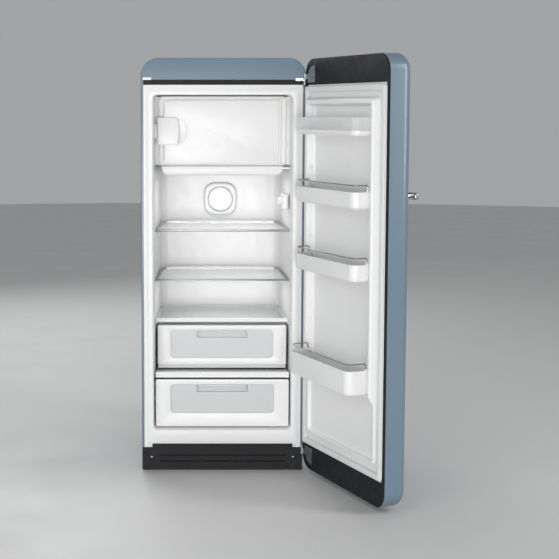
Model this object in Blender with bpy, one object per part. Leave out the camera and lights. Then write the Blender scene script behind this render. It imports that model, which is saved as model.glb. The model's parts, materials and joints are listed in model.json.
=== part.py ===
"""Retro single-door refrigerator with an inner ice box.

Metres, +Z up. The front faces -Y, and the hinges are on the +X side. The cabinet is modelled about its own
centre line, with Y = 0 on the face that the door seals against and Z = 0 on the floor. The door is modelled
closed and then turned open on its hinge. At the end the whole object is moved so that the middle of its
bounding box's base is the origin.
"""

import math

import bmesh
import bpy
from mathutils import Vector

# Overall sizes
WIDTH = 0.601
HEIGHT = 1.530
DEPTH = 0.585  # cabinet, from its sealing face to its back edge
SHOULDER = 0.060  # radius of the round shoulders of cabinet and door
SHEET = 0.001  # painted steel
GAP = 0.0003  # between pieces that rest on each other
FLOOR_GAP = 0.004  # under the cabinet's side sheets

# Cabinet front
SHELL_EDGE = 0.0095  # width of the painted edge beside the liner's flange
EDGE_ROUND = 0.004
FASCIA_HEIGHT = 0.078  # painted front above the strip
STRIP_HEIGHT = 0.0183
STRIP_THICKNESS = 0.003
STRIP_RECESS = 0.001

# Liner
LINER_WALL = 0.002
SIDE_WALL = 0.044  # shell to opening
TOP_WALL = 0.133
SILL = 0.152  # height of the liner's floor
FLANGE_LOW = 0.086
BACK_WALL = 0.085  # cavity to the cabinet's back edge
DRAFT = 0.0165  # what each side wall closes in over the cavity's depth
BACK_CORNER = 0.035
FRONT_CORNER = 0.012
FOAM_FRONT = 0.0045
FOAM_LOW = 0.095
HUMP_DEPTH, HUMP_SLOPE, HUMP_TOP = 0.165, 0.027, 0.340  # over the machine bay, from the cavity's back
BAY_WALL = 0.045  # foam between the liner's hump and the machine bay

# Kick plate and base
KICK_THICKNESS = 0.003
KICK_LOW, KICK_CORNER_TOP, KICK_TOP = 0.001, 0.0857, 0.0997
KICK_CORNER_INSET = 0.039  # from the cabinet's side to where the plate steps up
KICK_SIDE_GAP = 0.0025
SLOT_LENGTH, SLOT_HEIGHT, SLOT_PITCH = 0.152, 0.006, 0.1605
SLOT_LEVELS = (0.056, 0.0335)
SCREW_LEVEL, SCREW_INSET, SCREW_RADIUS, SCREW_HEAD = 0.050, 0.0365, 0.0032, 0.0015
BASE_FRONT, BASE_LOW, BASE_HIGH, RAIL_WIDTH = 0.010, 0.045, 0.060, 0.024
FOOT_RADIUS, FOOT_HEIGHT, FOOT_STEM = 0.018, 0.010, 0.005
FOOT_INSET_X, FOOT_Y = 0.050, 0.040
ROLLER_RADIUS, ROLLER_WIDTH, AXLE_RADIUS = 0.017, 0.020, 0.004
ROLLER_BACK, ROLLER_INSET_X = 0.040, 0.045
RUNNING = 0.0005  # radial clearance of what turns

# Hinge
HINGE_INSET, HINGE_STANDOFF = 0.0035, 0.004  # from the door's side and rear face to its axis
KNUCKLE_RADIUS, PIN_RADIUS = 0.0034, 0.0018
LEAF_THICKNESS = 0.002
LEAF_INNER, LEAF_OUTER = 0.0368, 0.0080  # insets of the leaf's two ends from the cabinet's side
KNUCKLE_HIGH, KNUCKLE_LOW = 0.018, 0.012
DOOR_KNUCKLE = 0.0225
KNUCKLE_RELIEF = 0.0015  # notch in the kick plate round the bottom knuckle

# Door
DOOR_OPEN = 112.0
DOOR_GAP = 0.012
DOOR_LOW, DOOR_TOP_DROP = 0.017, 0.004
DOOR_DEPTH = 0.098
DOOR_CROWN = 0.010
DOOR_ROUND = 0.036
FRAME_THICKNESS = 0.004
CAP_BOTTOM, CAP_TOP = 0.092, 0.094  # heights of the black end caps
FRAME_EDGE = 0.024
DYKE_CLEARANCE, DYKE_WIDTH, DYKE_SLOPE, DYKE_HEIGHT = 0.011, 0.028, 0.005, 0.030
DYKE_SILL_GAP, DYKE_TOP_DROP = 0.008, 0.047  # above the sill, and below the liner plate's upper end
LOWER_DYKE_WIDTH, LOWER_DYKE_TOP, LOWER_DYKE_HEIGHT = 0.0125, 0.375, 0.013
GASKET_INSET, GASKET_WIDTH = 0.018, 0.022
GASKET_MARGIN = 0.005
PLATE_START, PLATE_WIDTH, PLATE_HEIGHT = 0.024, 0.0515, 0.060
PLATE_HOLE = 0.0025

# Handle
HANDLE_DROP, HANDLE_HEIGHT, HANDLE_THICKNESS = 0.4725, 0.023, 0.012
HANDLE_LENGTH, HANDLE_STANDOFF, HANDLE_INSET = 0.175, 0.034, 0.040
POST_WIDTH, POST_HEIGHT = 0.014, 0.020

# Door bins
BIN_WALL, BIN_SIDE_GAP, BIN_CORNER = 0.002, 0.001, 0.027
BIN_REACH, BOTTLE_REACH = 0.085, 0.101
BIN_HEIGHT, BOTTLE_HEIGHT, DAIRY_BASE, DAIRY_HEIGHT = 0.056, 0.083, 0.017, 0.060
RAIL_RISE, RAIL_RADIUS = 0.022, 0.0022
LUG_DEPTH = 0.010
BOTTLE_LEVEL = 0.395
BIN_SHARES = {"middle": 0.385, "upper": 0.628, "dairy": 0.871}

# Shelves and drawers
SHELF_FRONT, SHELF_BACK_GAP, SHELF_SIDE_GAP = 0.100, 0.015, 0.0045
SHELF_THICKNESS, GLASS_THICKNESS = 0.0095, 0.004
SHELF_FRAME = 0.009
SHELF_SHARES = {"lower": 0.279, "upper": 0.626}
LEDGE_HEIGHT, LEDGE_REACH = 0.006, 0.0075
COVER_LEVEL, COVER_TRIM, COVER_TRIM_DEPTH = 0.542, 0.015, 0.014
DRAWER_WALL, FRONT_THICKNESS = 0.0022, 0.006
DIVIDER_SIDE_GAP = 0.003
UPPER_DRAWER = {"front": 0.100, "low": 0.366, "panel_low": 0.379, "high": 0.531, "back_gap": 0.030,
                "inset": 0.0092, "window": 0.1065}
LOWER_DRAWER = {"front": 0.035, "low": 0.1555, "panel_low": 0.1555, "high": 0.336, "back_gap": 0.178,
                "inset": 0.0053, "window": 0.109}
WINDOW_HALF, WINDOW_CORNER = 0.194, 0.014
WINDOW_TOP_DROP = 0.019
GRIP_HALF, GRIP_HEIGHT, GRIP_DEPTH, GRIP_DROP = 0.095, 0.026, 0.011, 0.004
DIVIDER_LOW, DIVIDER_HIGH, DIVIDER_FRONT, DIVIDER_PLATE = 0.341, 0.362, 0.050, 0.005

# Ice box
ICE_FRONT, ICE_BACK_GAP, ICE_WALL = 0.100, 0.043, 0.002
ICE_DROP, ICE_SIDE_GAP, ICE_TOP_GAP = 0.263, 0.0125, 0.0035  # drops are from the ceiling
FLAP_THICKNESS, FLAP_LEFT, FLAP_HINGE = 0.0115, 0.0385, 0.0410  # insets of the flap from the opening
FLAP_DROP, FLAP_TOP_GAP = 0.255, 0.018
FRAME_DEPTH = 0.014
BARREL_RADIUS = 0.004
LATCH_DROP, LATCH_HEIGHT, LATCH_PROUD = 0.185, 0.103, 0.010
LATCH_OUTER, LATCH_WIDTH = 0.014, 0.0815
TRAY_DROP, TRAY_CORNER = 0.036, 0.024

# Fan, thermostat, lamp and switch
FAN_DROP, FAN_RADIUS, FAN_HOUSING, FAN_DEPTH = 0.413, 0.0506, 0.0665, 0.026
FAN_SLIT = 0.0025  # air gap round the fan's cover
ROTOR_RADIUS, ROTOR_DEPTH, FAN_MOTOR_RADIUS = 0.042, 0.007, 0.019
CONTROL_DROP, CONTROL_HEIGHT, CONTROL_Y = 0.397, 0.063, 0.092
CONTROL_LENGTH, CONTROL_DEPTH, LAMP_LENGTH = 0.052, 0.026, 0.075
KNOB_RADIUS, KNOB_DEPTH = 0.0165, 0.010
SWITCH_LEVEL, SWITCH_Y, SWITCH_RADIUS, SWITCH_REACH = 0.590, 0.012, 0.004, 0.0065
SWITCH_TRAVEL, SWITCH_POCKET = 0.004, 0.0055

# Refrigeration machinery
COMPRESSOR_X, COMPRESSOR_BACK = 0.030, 0.095
COMPRESSOR_RADIUS, COMPRESSOR_HEIGHT, COMPRESSOR_FOOT, PLATE_DEPTH = 0.070, 0.150, 0.010, 0.110
TRAY_X, TRAY_LENGTH, TRAY_DEPTH, TRAY_HEIGHT, TRAY_WALL = 0.020, 0.180, 0.120, 0.035, 0.002
DECK_THICKNESS = 0.004
COIL_RADIUS, COIL_RUNS, COIL_LOW, COIL_TOP_DROP, COIL_INSET = 0.0025, 10, 0.480, 0.120, 0.055
COIL_STANDOFF = 0.010

HALF = WIDTH / 2
CAVITY_DEPTH = DEPTH - BACK_WALL
SHELF_BACK = CAVITY_DEPTH - SHELF_BACK_GAP
HUMP_FRONT = CAVITY_DEPTH - HUMP_DEPTH
HUMP_BACK = HUMP_FRONT + HUMP_SLOPE
BAY_FRONT, BAY_TOP = HUMP_BACK + BAY_WALL, HUMP_TOP - BAY_WALL
COMPRESSOR_Y, ROLLER_Y = DEPTH - COMPRESSOR_BACK, DEPTH - ROLLER_BACK
OPENING = HALF - SIDE_WALL
CEILING = HEIGHT - TOP_WALL
FASCIA_LOW = HEIGHT - FASCIA_HEIGHT
STRIP_LOW = FASCIA_LOW - STRIP_HEIGHT
FLANGE_HIGH = STRIP_LOW - 0.0008
FLANGE_HALF = HALF - SHELL_EDGE
DOOR_HIGH = HEIGHT - DOOR_TOP_DROP
PLATE_LOW, PLATE_HIGH = DOOR_LOW + CAP_BOTTOM, DOOR_HIGH - CAP_TOP
DYKE_LOW, DYKE_HIGH = SILL + DYKE_SILL_GAP, PLATE_HIGH - DYKE_TOP_DROP
HINGE = Vector((HALF - HINGE_INSET, -DOOR_GAP + HINGE_STANDOFF, 0))
ICE_LOW = CEILING - ICE_DROP
FAN_LEVEL, CONTROL_LEVEL = CEILING - FAN_DROP, CEILING - CONTROL_DROP
FLAP_AXIS = Vector((OPENING - FLAP_HINGE, ICE_FRONT + 0.005, CEILING - FLAP_DROP))
TOP_KNUCKLE = FASCIA_LOW - 0.0005  # upper end of the cabinet's top knuckle
BOTTOM_KNUCKLE = FLANGE_LOW + 0.0005  # lower end of its bottom knuckle
DYKE_OUTER = SIDE_WALL + DYKE_CLEARANCE
BIN_HALF = HALF - DYKE_OUTER - DYKE_WIDTH - BIN_SIDE_GAP

COLOURS = {
    "blue_paint": ((0.155, 0.225, 0.275, 1), 0.32, 0.1),
    "white_plastic": ((0.82, 0.83, 0.83, 1), 0.35, 0.0),
    "black_plastic": ((0.022, 0.022, 0.025, 1), 0.5, 0.0),
    "foam": ((0.78, 0.68, 0.42, 1), 0.9, 0.0),
    "grey_steel": ((0.42, 0.43, 0.44, 1), 0.45, 0.9),
    "chrome": ((0.85, 0.86, 0.88, 1), 0.08, 1.0),
    "clear_glass": ((0.80, 0.86, 0.84, 0.3), 0.05, 0.0),
    "grey_clear": ((0.55, 0.57, 0.58, 0.6), 0.15, 0.0),
    "gasket": ((0.70, 0.71, 0.72, 1), 0.7, 0.0),
    "trim_grey": ((0.30, 0.31, 0.32, 1), 0.4, 0.3),
    "black_metal": ((0.02, 0.02, 0.02, 1), 0.45, 0.6),
    "rubber": ((0.03, 0.03, 0.03, 1), 0.85, 0.0),
    "aluminium": ((0.72, 0.73, 0.74, 1), 0.35, 1.0),
}


# Drawing helpers


def rounded(x0, x1, y0, y1, radii, steps=3):
    """A rectangle's outline, anticlockwise from its low corner, with a radius for each of its corners."""
    if isinstance(radii, (int, float)):
        radii = (radii,) * 4
    points = []
    for corner, radius in enumerate(radii):
        cx = x0 + radius if corner in (0, 3) else x1 - radius
        cy = y0 + radius if corner in (0, 1) else y1 - radius
        for step in range(steps + 1):
            angle = math.radians(180 + 90 * (corner + step / steps))
            points.append((cx + radius * math.cos(angle), cy + radius * math.sin(angle)))
    return points


def circle(cx, cy, radius, count=20):
    turns = [2 * math.pi * i / count for i in range(count)]
    return [(cx + radius * math.cos(a), cy + radius * math.sin(a)) for a in turns]


def along_x(points, x):
    return [Vector((x, a, b)) for a, b in points]


def along_y(points, y):
    return [Vector((a, y, b)) for a, b in points]


def along_z(points, z):
    return [Vector((a, b, z)) for a, b in points]


def loft(loops, ring=False):
    """One closed skin through loops of equal count, capped at its ends, or joined end to end as a ring."""
    bm = bmesh.new()
    rows = [[bm.verts.new(p) for p in loop] for loop in loops]
    pairs = list(zip(rows, rows[1:])) + ([(rows[-1], rows[0])] if ring else [])
    for first, second in pairs:
        for i in range(len(first)):
            j = (i + 1) % len(first)
            bm.faces.new((first[i], first[j], second[j], second[i]))
    if not ring:
        bm.faces.new(list(reversed(rows[0])))
        bm.faces.new(rows[-1])
    bmesh.ops.recalc_face_normals(bm, faces=bm.faces)
    if bm.calc_volume(signed=True) < 0:
        bmesh.ops.reverse_faces(bm, faces=bm.faces)
    return bm


def prism(points, place, low, high):
    return loft([place(points, low), place(points, high)])


def block(x0, x1, y0, y1, z0, z1, corner=0.0):
    """A box, with its edges along Z rounded if a corner radius is given."""
    if corner:
        return prism(rounded(x0, x1, y0, y1, corner), along_z, z0, z1)
    return prism([(x0, y0), (x1, y0), (x1, y1), (x0, y1)], along_z, z0, z1)


def rod(place, cx, cy, radius, low, high, count=20):
    return prism(circle(cx, cy, radius, count), place, low, high)


def frame_ring(outer, inner, place, low, high):
    return loft([place(outer, low), place(outer, high), place(inner, high), place(inner, low)], ring=True)


# Objects


def material(slot):
    found = bpy.data.materials.get(slot)
    if found:
        return found
    made = bpy.data.materials.new(slot)
    made.use_nodes = True
    colour, roughness, metallic = COLOURS[slot]
    shader = made.node_tree.nodes["Principled BSDF"]
    shader.inputs["Base Color"].default_value = colour
    shader.inputs["Roughness"].default_value = roughness
    shader.inputs["Metallic"].default_value = metallic
    made.diffuse_color = colour
    return made


class Group:
    """What moves together: an empty on its joint's axis, at home in the cabinet's coordinates."""

    def __init__(self, name, home=(0, 0, 0), parent=None):
        self.home = Vector(home)
        self.empty = bpy.data.objects.new(name, None)
        bpy.context.scene.collection.objects.link(self.empty)
        self.empty.parent = parent.empty if parent else None
        self.empty.location = self.home - (parent.home if parent else Vector())

    def add(self, name, bm, slot, tools=()):
        """Adds a piece drawn in the cabinet's coordinates, with Boolean joins and cuts in the order given."""
        bmesh.ops.translate(bm, verts=bm.verts, vec=-self.home)
        mesh = bpy.data.meshes.new(name)
        bm.to_mesh(mesh)
        bm.free()
        made = bpy.data.objects.new(name, mesh)
        bpy.context.scene.collection.objects.link(made)
        made.parent = self.empty
        if slot:
            mesh.materials.append(material(slot))
            mesh.shade_smooth()
            mesh.set_sharp_from_angle(angle=math.radians(32))
        for number, (operation, tool_mesh) in enumerate(tools):
            tool = self.add(f"{name}_tool_{number}", tool_mesh, None)
            tool.hide_render = True
            tool.display_type = "WIRE"
            modifier = made.modifiers.new(operation.title(), "BOOLEAN")
            modifier.operation = operation
            modifier.object = tool
        return made

    def add_tube(self, name, points, radius, resolution, slot):
        """Adds a round wire along a path drawn in the cabinet's coordinates."""
        curve = bpy.data.curves.new(name, "CURVE")
        curve.dimensions = "3D"
        spline = curve.splines.new("POLY")
        spline.points.add(len(points) - 1)
        for point, place in zip(spline.points, points):
            point.co = (*(Vector(place) - self.home), 1)
        curve.bevel_depth = radius
        curve.bevel_resolution = resolution
        curve.use_fill_caps = True
        curve.materials.append(material(slot))
        made = bpy.data.objects.new(name, curve)
        bpy.context.scene.collection.objects.link(made)
        made.parent = self.empty


def joined(*meshes):
    return [("UNION", mesh) for mesh in meshes]


def cut(*meshes):
    return [("DIFFERENCE", mesh) for mesh in meshes]


# Cabinet


def arch(inset, low, steps=5):
    """The cabinet's front outline, drawn in by an inset: round shoulders and a square foot."""
    round_top = SHOULDER - inset
    radii = (0.0005, 0.0005, round_top, round_top)
    return rounded(-HALF + inset, HALF - inset, low, HEIGHT - inset, radii, steps)


def wrap_loops(inset, low, back):
    """The cabinet's outer surface drawn in by an inset, from its rounded front edge to the back."""
    radius = EDGE_ROUND - inset
    loops = []
    for step in range(4):
        angle = math.radians(30 * step)
        side = inset + radius * (1 - math.sin(angle))
        loops.append(along_y(arch(side, low), inset + radius * (1 - math.cos(angle))))
    return loops + [along_y(arch(inset, low), back)]


def cavity_half(y):
    return OPENING - DRAFT * y / CAVITY_DEPTH


def cavity_loops(grow, front):
    """The liner's inner surface, grown outwards, from the opening to the back wall over the hump."""
    loops = []
    for y, floor, corner in (
        (front, SILL, FRONT_CORNER),
        (HUMP_FRONT - grow, SILL, FRONT_CORNER),
        (HUMP_BACK - grow, HUMP_TOP, FRONT_CORNER),
        (CAVITY_DEPTH - BACK_CORNER, HUMP_TOP, FRONT_CORNER),
        (CAVITY_DEPTH + grow, HUMP_TOP, BACK_CORNER),
    ):
        half = cavity_half(y) + grow
        outline = rounded(-half, half, floor - grow, CEILING + grow, corner + grow, 5)
        loops.append(along_y(outline, y))
    return loops


def ledge(side, level):
    """A rib along a side wall that a shelf slides on, its top at the given level."""
    y0, y1 = SHELF_FRONT + 0.010, SHELF_BACK - 0.030
    ends = []
    for y in (y0, y1):
        wall = cavity_half(y)
        outline = [(side * (wall - LEDGE_REACH), level), (side * (wall + LINER_WALL / 2), level),
                   (side * (wall + LINER_WALL / 2), level - LEDGE_HEIGHT),
                   (side * (wall - LEDGE_REACH), level - LEDGE_HEIGHT)]
        ends.append(along_y(outline, y))
    return loft(ends)


def shelf_level(name):
    """The underside of a shelf, shared out between the drawer cover and the ice box's tray."""
    low, high = COVER_LEVEL + COVER_TRIM, ICE_LOW - TRAY_DROP
    return low + SHELF_SHARES[name] * (high - low) - SHELF_THICKNESS


def make_cabinet(cabinet):
    inner = wrap_loops(SHEET, FLOOR_GAP - 0.02, DEPTH + 0.02)
    window = block(-FLANGE_HALF - GAP, FLANGE_HALF + GAP, -0.01, 2 * EDGE_ROUND, -0.02, FASCIA_LOW)
    cabinet.add("cabinet_shell", loft(wrap_loops(0, FLOOR_GAP, DEPTH)), "blue_paint",
                cut(loft(inner), window))

    skin = SHEET + GAP
    back = DEPTH - SHEET - 2 * GAP
    outer = [along_y(arch(skin, low), y) for y, low in (
        (back, BAY_TOP), (BAY_FRONT, BAY_TOP), (BAY_FRONT - 0.025, FOAM_LOW), (FOAM_FRONT, FOAM_LOW))]
    pocket = block(OPENING, OPENING + LINER_WALL + SWITCH_TRAVEL + 0.002,
                   SWITCH_Y - SWITCH_POCKET, SWITCH_Y + SWITCH_POCKET,
                   SWITCH_LEVEL - SWITCH_POCKET, SWITCH_LEVEL + SWITCH_POCKET)
    cabinet.add("cabinet_insulation", loft(outer + cavity_loops(LINER_WALL + GAP, FOAM_FRONT)), "foam",
                cut(pocket))

    flange = rounded(-FLANGE_HALF, FLANGE_HALF, FLANGE_LOW, FLANGE_HIGH, 0.002, 5)
    outside = list(reversed(cavity_loops(LINER_WALL, LINER_WALL)))
    liner = outside + [along_y(flange, LINER_WALL), along_y(flange, 0)] + cavity_loops(0, 0)
    levels = [shelf_level(name) - GAP for name in SHELF_SHARES] + [COVER_LEVEL - GAP]
    ribs = [ledge(side, level) for level in levels for side in (-1, 1)]
    switch_hole = rod(along_x, SWITCH_Y, SWITCH_LEVEL, SWITCH_RADIUS + RUNNING,
                      OPENING - 0.01, OPENING + 0.01, 12)
    cabinet.add("cabinet_liner", loft(liner), "white_plastic", joined(*ribs) + cut(switch_hole))

    cabinet.add("front_strip", block(-FLANGE_HALF, FLANGE_HALF, STRIP_RECESS, STRIP_RECESS + STRIP_THICKNESS,
                                     STRIP_LOW, FASCIA_LOW - GAP), "black_plastic")

    panel = rounded(-HALF + SHEET + GAP, HALF - SHEET - GAP, BAY_TOP, HEIGHT - SHEET - GAP,
                    (0.001, 0.001, SHOULDER - SHEET - GAP, SHOULDER - SHEET - GAP), 5)
    cabinet.add("rear_panel", prism(panel, along_y, DEPTH - SHEET - GAP, DEPTH - GAP), "grey_steel")
    make_kick_plate(cabinet)
    make_cabinet_hinges(cabinet)


def make_kick_plate(cabinet):
    half = HALF - KICK_SIDE_GAP
    step = HALF - KICK_CORNER_INSET
    outline = [(-half, KICK_LOW), (half, KICK_LOW), (half, KICK_CORNER_TOP), (step, KICK_CORNER_TOP),
               (step, KICK_TOP), (-step, KICK_TOP), (-step, KICK_CORNER_TOP), (-half, KICK_CORNER_TOP)]
    slots = []
    for level in SLOT_LEVELS:
        for number in (-1, 0, 1):
            centre = number * SLOT_PITCH
            slots.append(block(centre - SLOT_LENGTH / 2, centre + SLOT_LENGTH / 2, -0.01, 0.01,
                               level - SLOT_HEIGHT / 2, level + SLOT_HEIGHT / 2))
    holes = []
    for side, name in ((-1, "left"), (1, "right")):
        x = side * (HALF - SCREW_INSET)
        holes.append(rod(along_y, x, SCREW_LEVEL, SCREW_RADIUS * 0.6, -0.01, 0.01, 12))
        face = -KICK_THICKNESS - GAP
        head = rod(along_y, x, SCREW_LEVEL, SCREW_RADIUS, face - SCREW_HEAD, face - GAP, 12)
        shank = rod(along_y, x, SCREW_LEVEL, SCREW_RADIUS * 0.45, face - 2 * GAP, BASE_FRONT - GAP, 12)
        cabinet.add(f"kick_screw_{name}", head, "grey_steel", joined(shank))
    relief = HINGE.x - KNUCKLE_RADIUS - KNUCKLE_RELIEF
    notch = block(relief, HALF, -0.01, 0.01, BOTTOM_KNUCKLE - DOOR_KNUCKLE - KNUCKLE_RELIEF, KICK_TOP)
    cabinet.add("kick_plate", prism(outline, along_y, -KICK_THICKNESS - GAP, -GAP), "black_plastic",
                cut(*slots, *holes, notch))


def knuckle_mesh(low, high, radius=KNUCKLE_RADIUS):
    return rod(along_z, HINGE.x, HINGE.y, radius, low, high, 16)


def make_cabinet_hinges(cabinet):
    """Leaf, arm, knuckle and pin. The top pin stands up from its knuckle, and the bottom one hangs down."""
    x0, x1 = HALF - LEAF_INNER, HALF - LEAF_OUTER
    front, face = -LEAF_THICKNESS - GAP, -GAP
    leaf_low = FASCIA_LOW - 0.0045
    knuckle_top = TOP_KNUCKLE
    arm = block(x1 - 0.003, HINGE.x + 0.001, HINGE.y - 0.001, face - 0.0002, leaf_low, knuckle_top - 0.0002)
    cabinet.add("hinge_bracket_top", block(x0, x1, front, face, leaf_low, leaf_low + 0.0095), "grey_steel",
                joined(arm, knuckle_mesh(knuckle_top - KNUCKLE_HIGH, knuckle_top),
                       knuckle_mesh(knuckle_top - 0.002, knuckle_top + DOOR_KNUCKLE, PIN_RADIUS)))
    base = BOTTOM_KNUCKLE
    arm = block(x1 - 0.003, HINGE.x + 0.001, HINGE.y - 0.001, face - 0.0002, base + 0.002, base + 0.008)
    cabinet.add("hinge_bracket_bottom", block(x0, x1, front, face, base + 0.001, base + 0.0115), "grey_steel",
                joined(arm, knuckle_mesh(base, base + KNUCKLE_LOW),
                       knuckle_mesh(base - DOOR_KNUCKLE, base + 0.002, PIN_RADIUS)))


# Base and machinery


def make_base(cabinet, feet, rollers):
    half = HALF - SHEET - 0.004
    back = DEPTH - 0.006
    left = block(-half, -half + RAIL_WIDTH, BASE_FRONT, back, BASE_LOW, BASE_HIGH)
    right = block(half - RAIL_WIDTH, half, BASE_FRONT, back, BASE_LOW, BASE_HIGH)
    cross_front = block(-half, half, BASE_FRONT, FOOT_Y + FOOT_RADIUS, BASE_LOW, BASE_HIGH)
    deck = block(-half, half, COMPRESSOR_Y - 0.080, back, BASE_LOW, BASE_LOW + DECK_THICKNESS)
    skirts = []
    for side in (-1, 1):
        x0, x1 = sorted((side * (HALF - SHEET - GAP), side * (half - 0.001)))
        skirts.append(block(x0, x1, BASE_FRONT, back, FLOOR_GAP + 0.001, FOAM_LOW - GAP))
        skirts.append(block(x0, x1, BAY_FRONT + GAP, back, BASE_LOW, BAY_TOP - GAP))
    ears = []
    for side in (-1, 1):
        x = side * (HALF - ROLLER_INSET_X)
        for shift in (-1, 1):
            centre = x + shift * (ROLLER_WIDTH / 2 + 0.004)
            ears.append(block(centre - 0.0015, centre + 0.0015, ROLLER_Y - 0.010, ROLLER_Y + 0.010,
                              ROLLER_RADIUS - 0.010, BASE_LOW + 0.002))
    axle_hole = rod(along_x, ROLLER_Y, ROLLER_RADIUS, AXLE_RADIUS + RUNNING, -half + 0.002, half - 0.002, 12)
    stems = [rod(along_z, side * (HALF - FOOT_INSET_X), FOOT_Y, FOOT_STEM + RUNNING, 0, 0.08, 12)
             for side in (-1, 1)]
    cabinet.add("base_frame", left, "grey_steel",
                joined(right, cross_front, deck, *ears, *skirts) + cut(axle_hole, *stems))
    reach = HALF - ROLLER_INSET_X + ROLLER_WIDTH / 2 + 0.009
    cabinet.add("roller_axle", rod(along_x, ROLLER_Y, ROLLER_RADIUS, AXLE_RADIUS, -reach, reach, 12),
                "grey_steel")
    for side, name in ((-1, "left"), (1, "right")):
        x = side * (HALF - ROLLER_INSET_X)
        wheel = frame_ring(circle(ROLLER_Y, ROLLER_RADIUS, ROLLER_RADIUS, 24),
                           circle(ROLLER_Y, ROLLER_RADIUS, AXLE_RADIUS + RUNNING, 24),
                           along_x, x - ROLLER_WIDTH / 2, x + ROLLER_WIDTH / 2)
        rollers[name].add(f"roller_{name}", wheel, "rubber")
        x = side * (HALF - FOOT_INSET_X)
        foot = rod(along_z, x, FOOT_Y, FOOT_RADIUS, 0, FOOT_HEIGHT, 12)
        stem = rod(along_z, x, FOOT_Y, FOOT_STEM, FOOT_HEIGHT - 0.001, BASE_HIGH + 0.012, 12)
        feet[name].add(f"foot_{name}", foot, "rubber", joined(stem))


def make_machinery(cabinet):
    deck = BASE_LOW + DECK_THICKNESS + GAP
    foot = deck + COMPRESSOR_FOOT
    pot = []
    for rise, share in ((0, 0.80), (0.12, 1.0), (0.72, 1.0), (0.92, 0.80), (1.0, 0.35)):
        outline = circle(COMPRESSOR_X, COMPRESSOR_Y, COMPRESSOR_RADIUS * share)
        pot.append(along_z(outline, foot + COMPRESSOR_HEIGHT * rise))
    plate = block(COMPRESSOR_X - COMPRESSOR_RADIUS, COMPRESSOR_X + COMPRESSOR_RADIUS,
                  COMPRESSOR_Y - PLATE_DEPTH / 2, COMPRESSOR_Y + PLATE_DEPTH / 2, deck, foot + 0.002)
    cabinet.add("compressor", loft(pot), "black_metal", joined(plate))

    tray_low = foot + COMPRESSOR_HEIGHT + 0.001
    tray_high = tray_low + TRAY_HEIGHT

    def tray(inset, z):
        return along_z(rounded(TRAY_X - TRAY_LENGTH / 2 + inset, TRAY_X + TRAY_LENGTH / 2 - inset,
                               COMPRESSOR_Y - TRAY_DEPTH / 2 + inset, COMPRESSOR_Y + TRAY_DEPTH / 2 - inset,
                               0.010 - inset), z)

    cabinet.add("evaporation_tray", loft([tray(0, tray_low), tray(0, tray_high), tray(TRAY_WALL, tray_high),
                                          tray(TRAY_WALL, tray_low + TRAY_WALL)]), "black_plastic")

    x0, x1, height = -0.225, -0.165, 0.055
    rim, rise = 0.013, 0.014  # of the inlet's mouth
    socket = block(x0, x1, DEPTH - 0.070, DEPTH - 0.018, deck, deck + height, 0.004)
    mouth = block(x0 + rim, x1 - rim, DEPTH - 0.040, DEPTH, deck + rise, deck + height - rise)
    cabinet.add("power_inlet", socket, "black_plastic", cut(mouth))
    make_condenser(cabinet)


def make_condenser(cabinet):
    """A serpentine tube behind the rear panel, from the machine bay up to the shoulders."""
    top = HEIGHT - COIL_TOP_DROP
    pitch = (top - COIL_LOW) / (COIL_RUNS - 1)
    y = DEPTH + COIL_STANDOFF
    reach = HALF - COIL_INSET - pitch / 2
    points = []
    for run in range(COIL_RUNS):
        side = 1 if run % 2 == 0 else -1
        z = COIL_LOW + run * pitch
        points.append((-side * reach, y, z))
        points.append((side * reach, y, z))
        if run < COIL_RUNS - 1:
            for step in range(1, 4):
                angle = math.radians(-90 + 45 * step)
                points.append((side * (reach + pitch / 2 * math.cos(angle)), y,
                               z + pitch / 2 * (1 + math.sin(angle))))
    cabinet.add_tube("condenser", points, COIL_RADIUS, 1, "black_metal")


# Inside the cabinet


def tapered(y0, y1, gap, corner):
    """A plan outline that keeps one gap to both side walls, with round back corners."""
    front, back = cavity_half(y0) - gap, cavity_half(y1) - gap
    points = [(-front, y0), (front, y0)]
    for side in (1, -1):
        cx, cy = side * (back - corner), y1 - corner
        start = 0 if side > 0 else 90
        for step in range(4):
            angle = math.radians(start + 30 * step)
            points.append((cx + corner * math.cos(angle), cy + corner * math.sin(angle)))
    return points


def make_shelf(group, name):
    low = shelf_level(name)
    y0, y1 = SHELF_FRONT, SHELF_BACK
    outer = tapered(y0, y1, SHELF_SIDE_GAP, 0.020)
    inner = tapered(y0 + SHELF_FRAME, y1 - SHELF_FRAME, SHELF_SIDE_GAP + SHELF_FRAME, 0.012)
    ring = frame_ring(outer, inner, along_z, low, low + SHELF_THICKNESS)
    group.add(f"{name}_shelf_frame", ring, "trim_grey")
    pane = tapered(y0 + SHELF_FRAME + GAP, y1 - SHELF_FRAME - GAP, SHELF_SIDE_GAP + SHELF_FRAME + GAP, 0.012)
    base = low + (SHELF_THICKNESS - GLASS_THICKNESS) / 2
    group.add(f"{name}_shelf_glass", prism(pane, along_z, base, base + GLASS_THICKNESS), "clear_glass")


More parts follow.
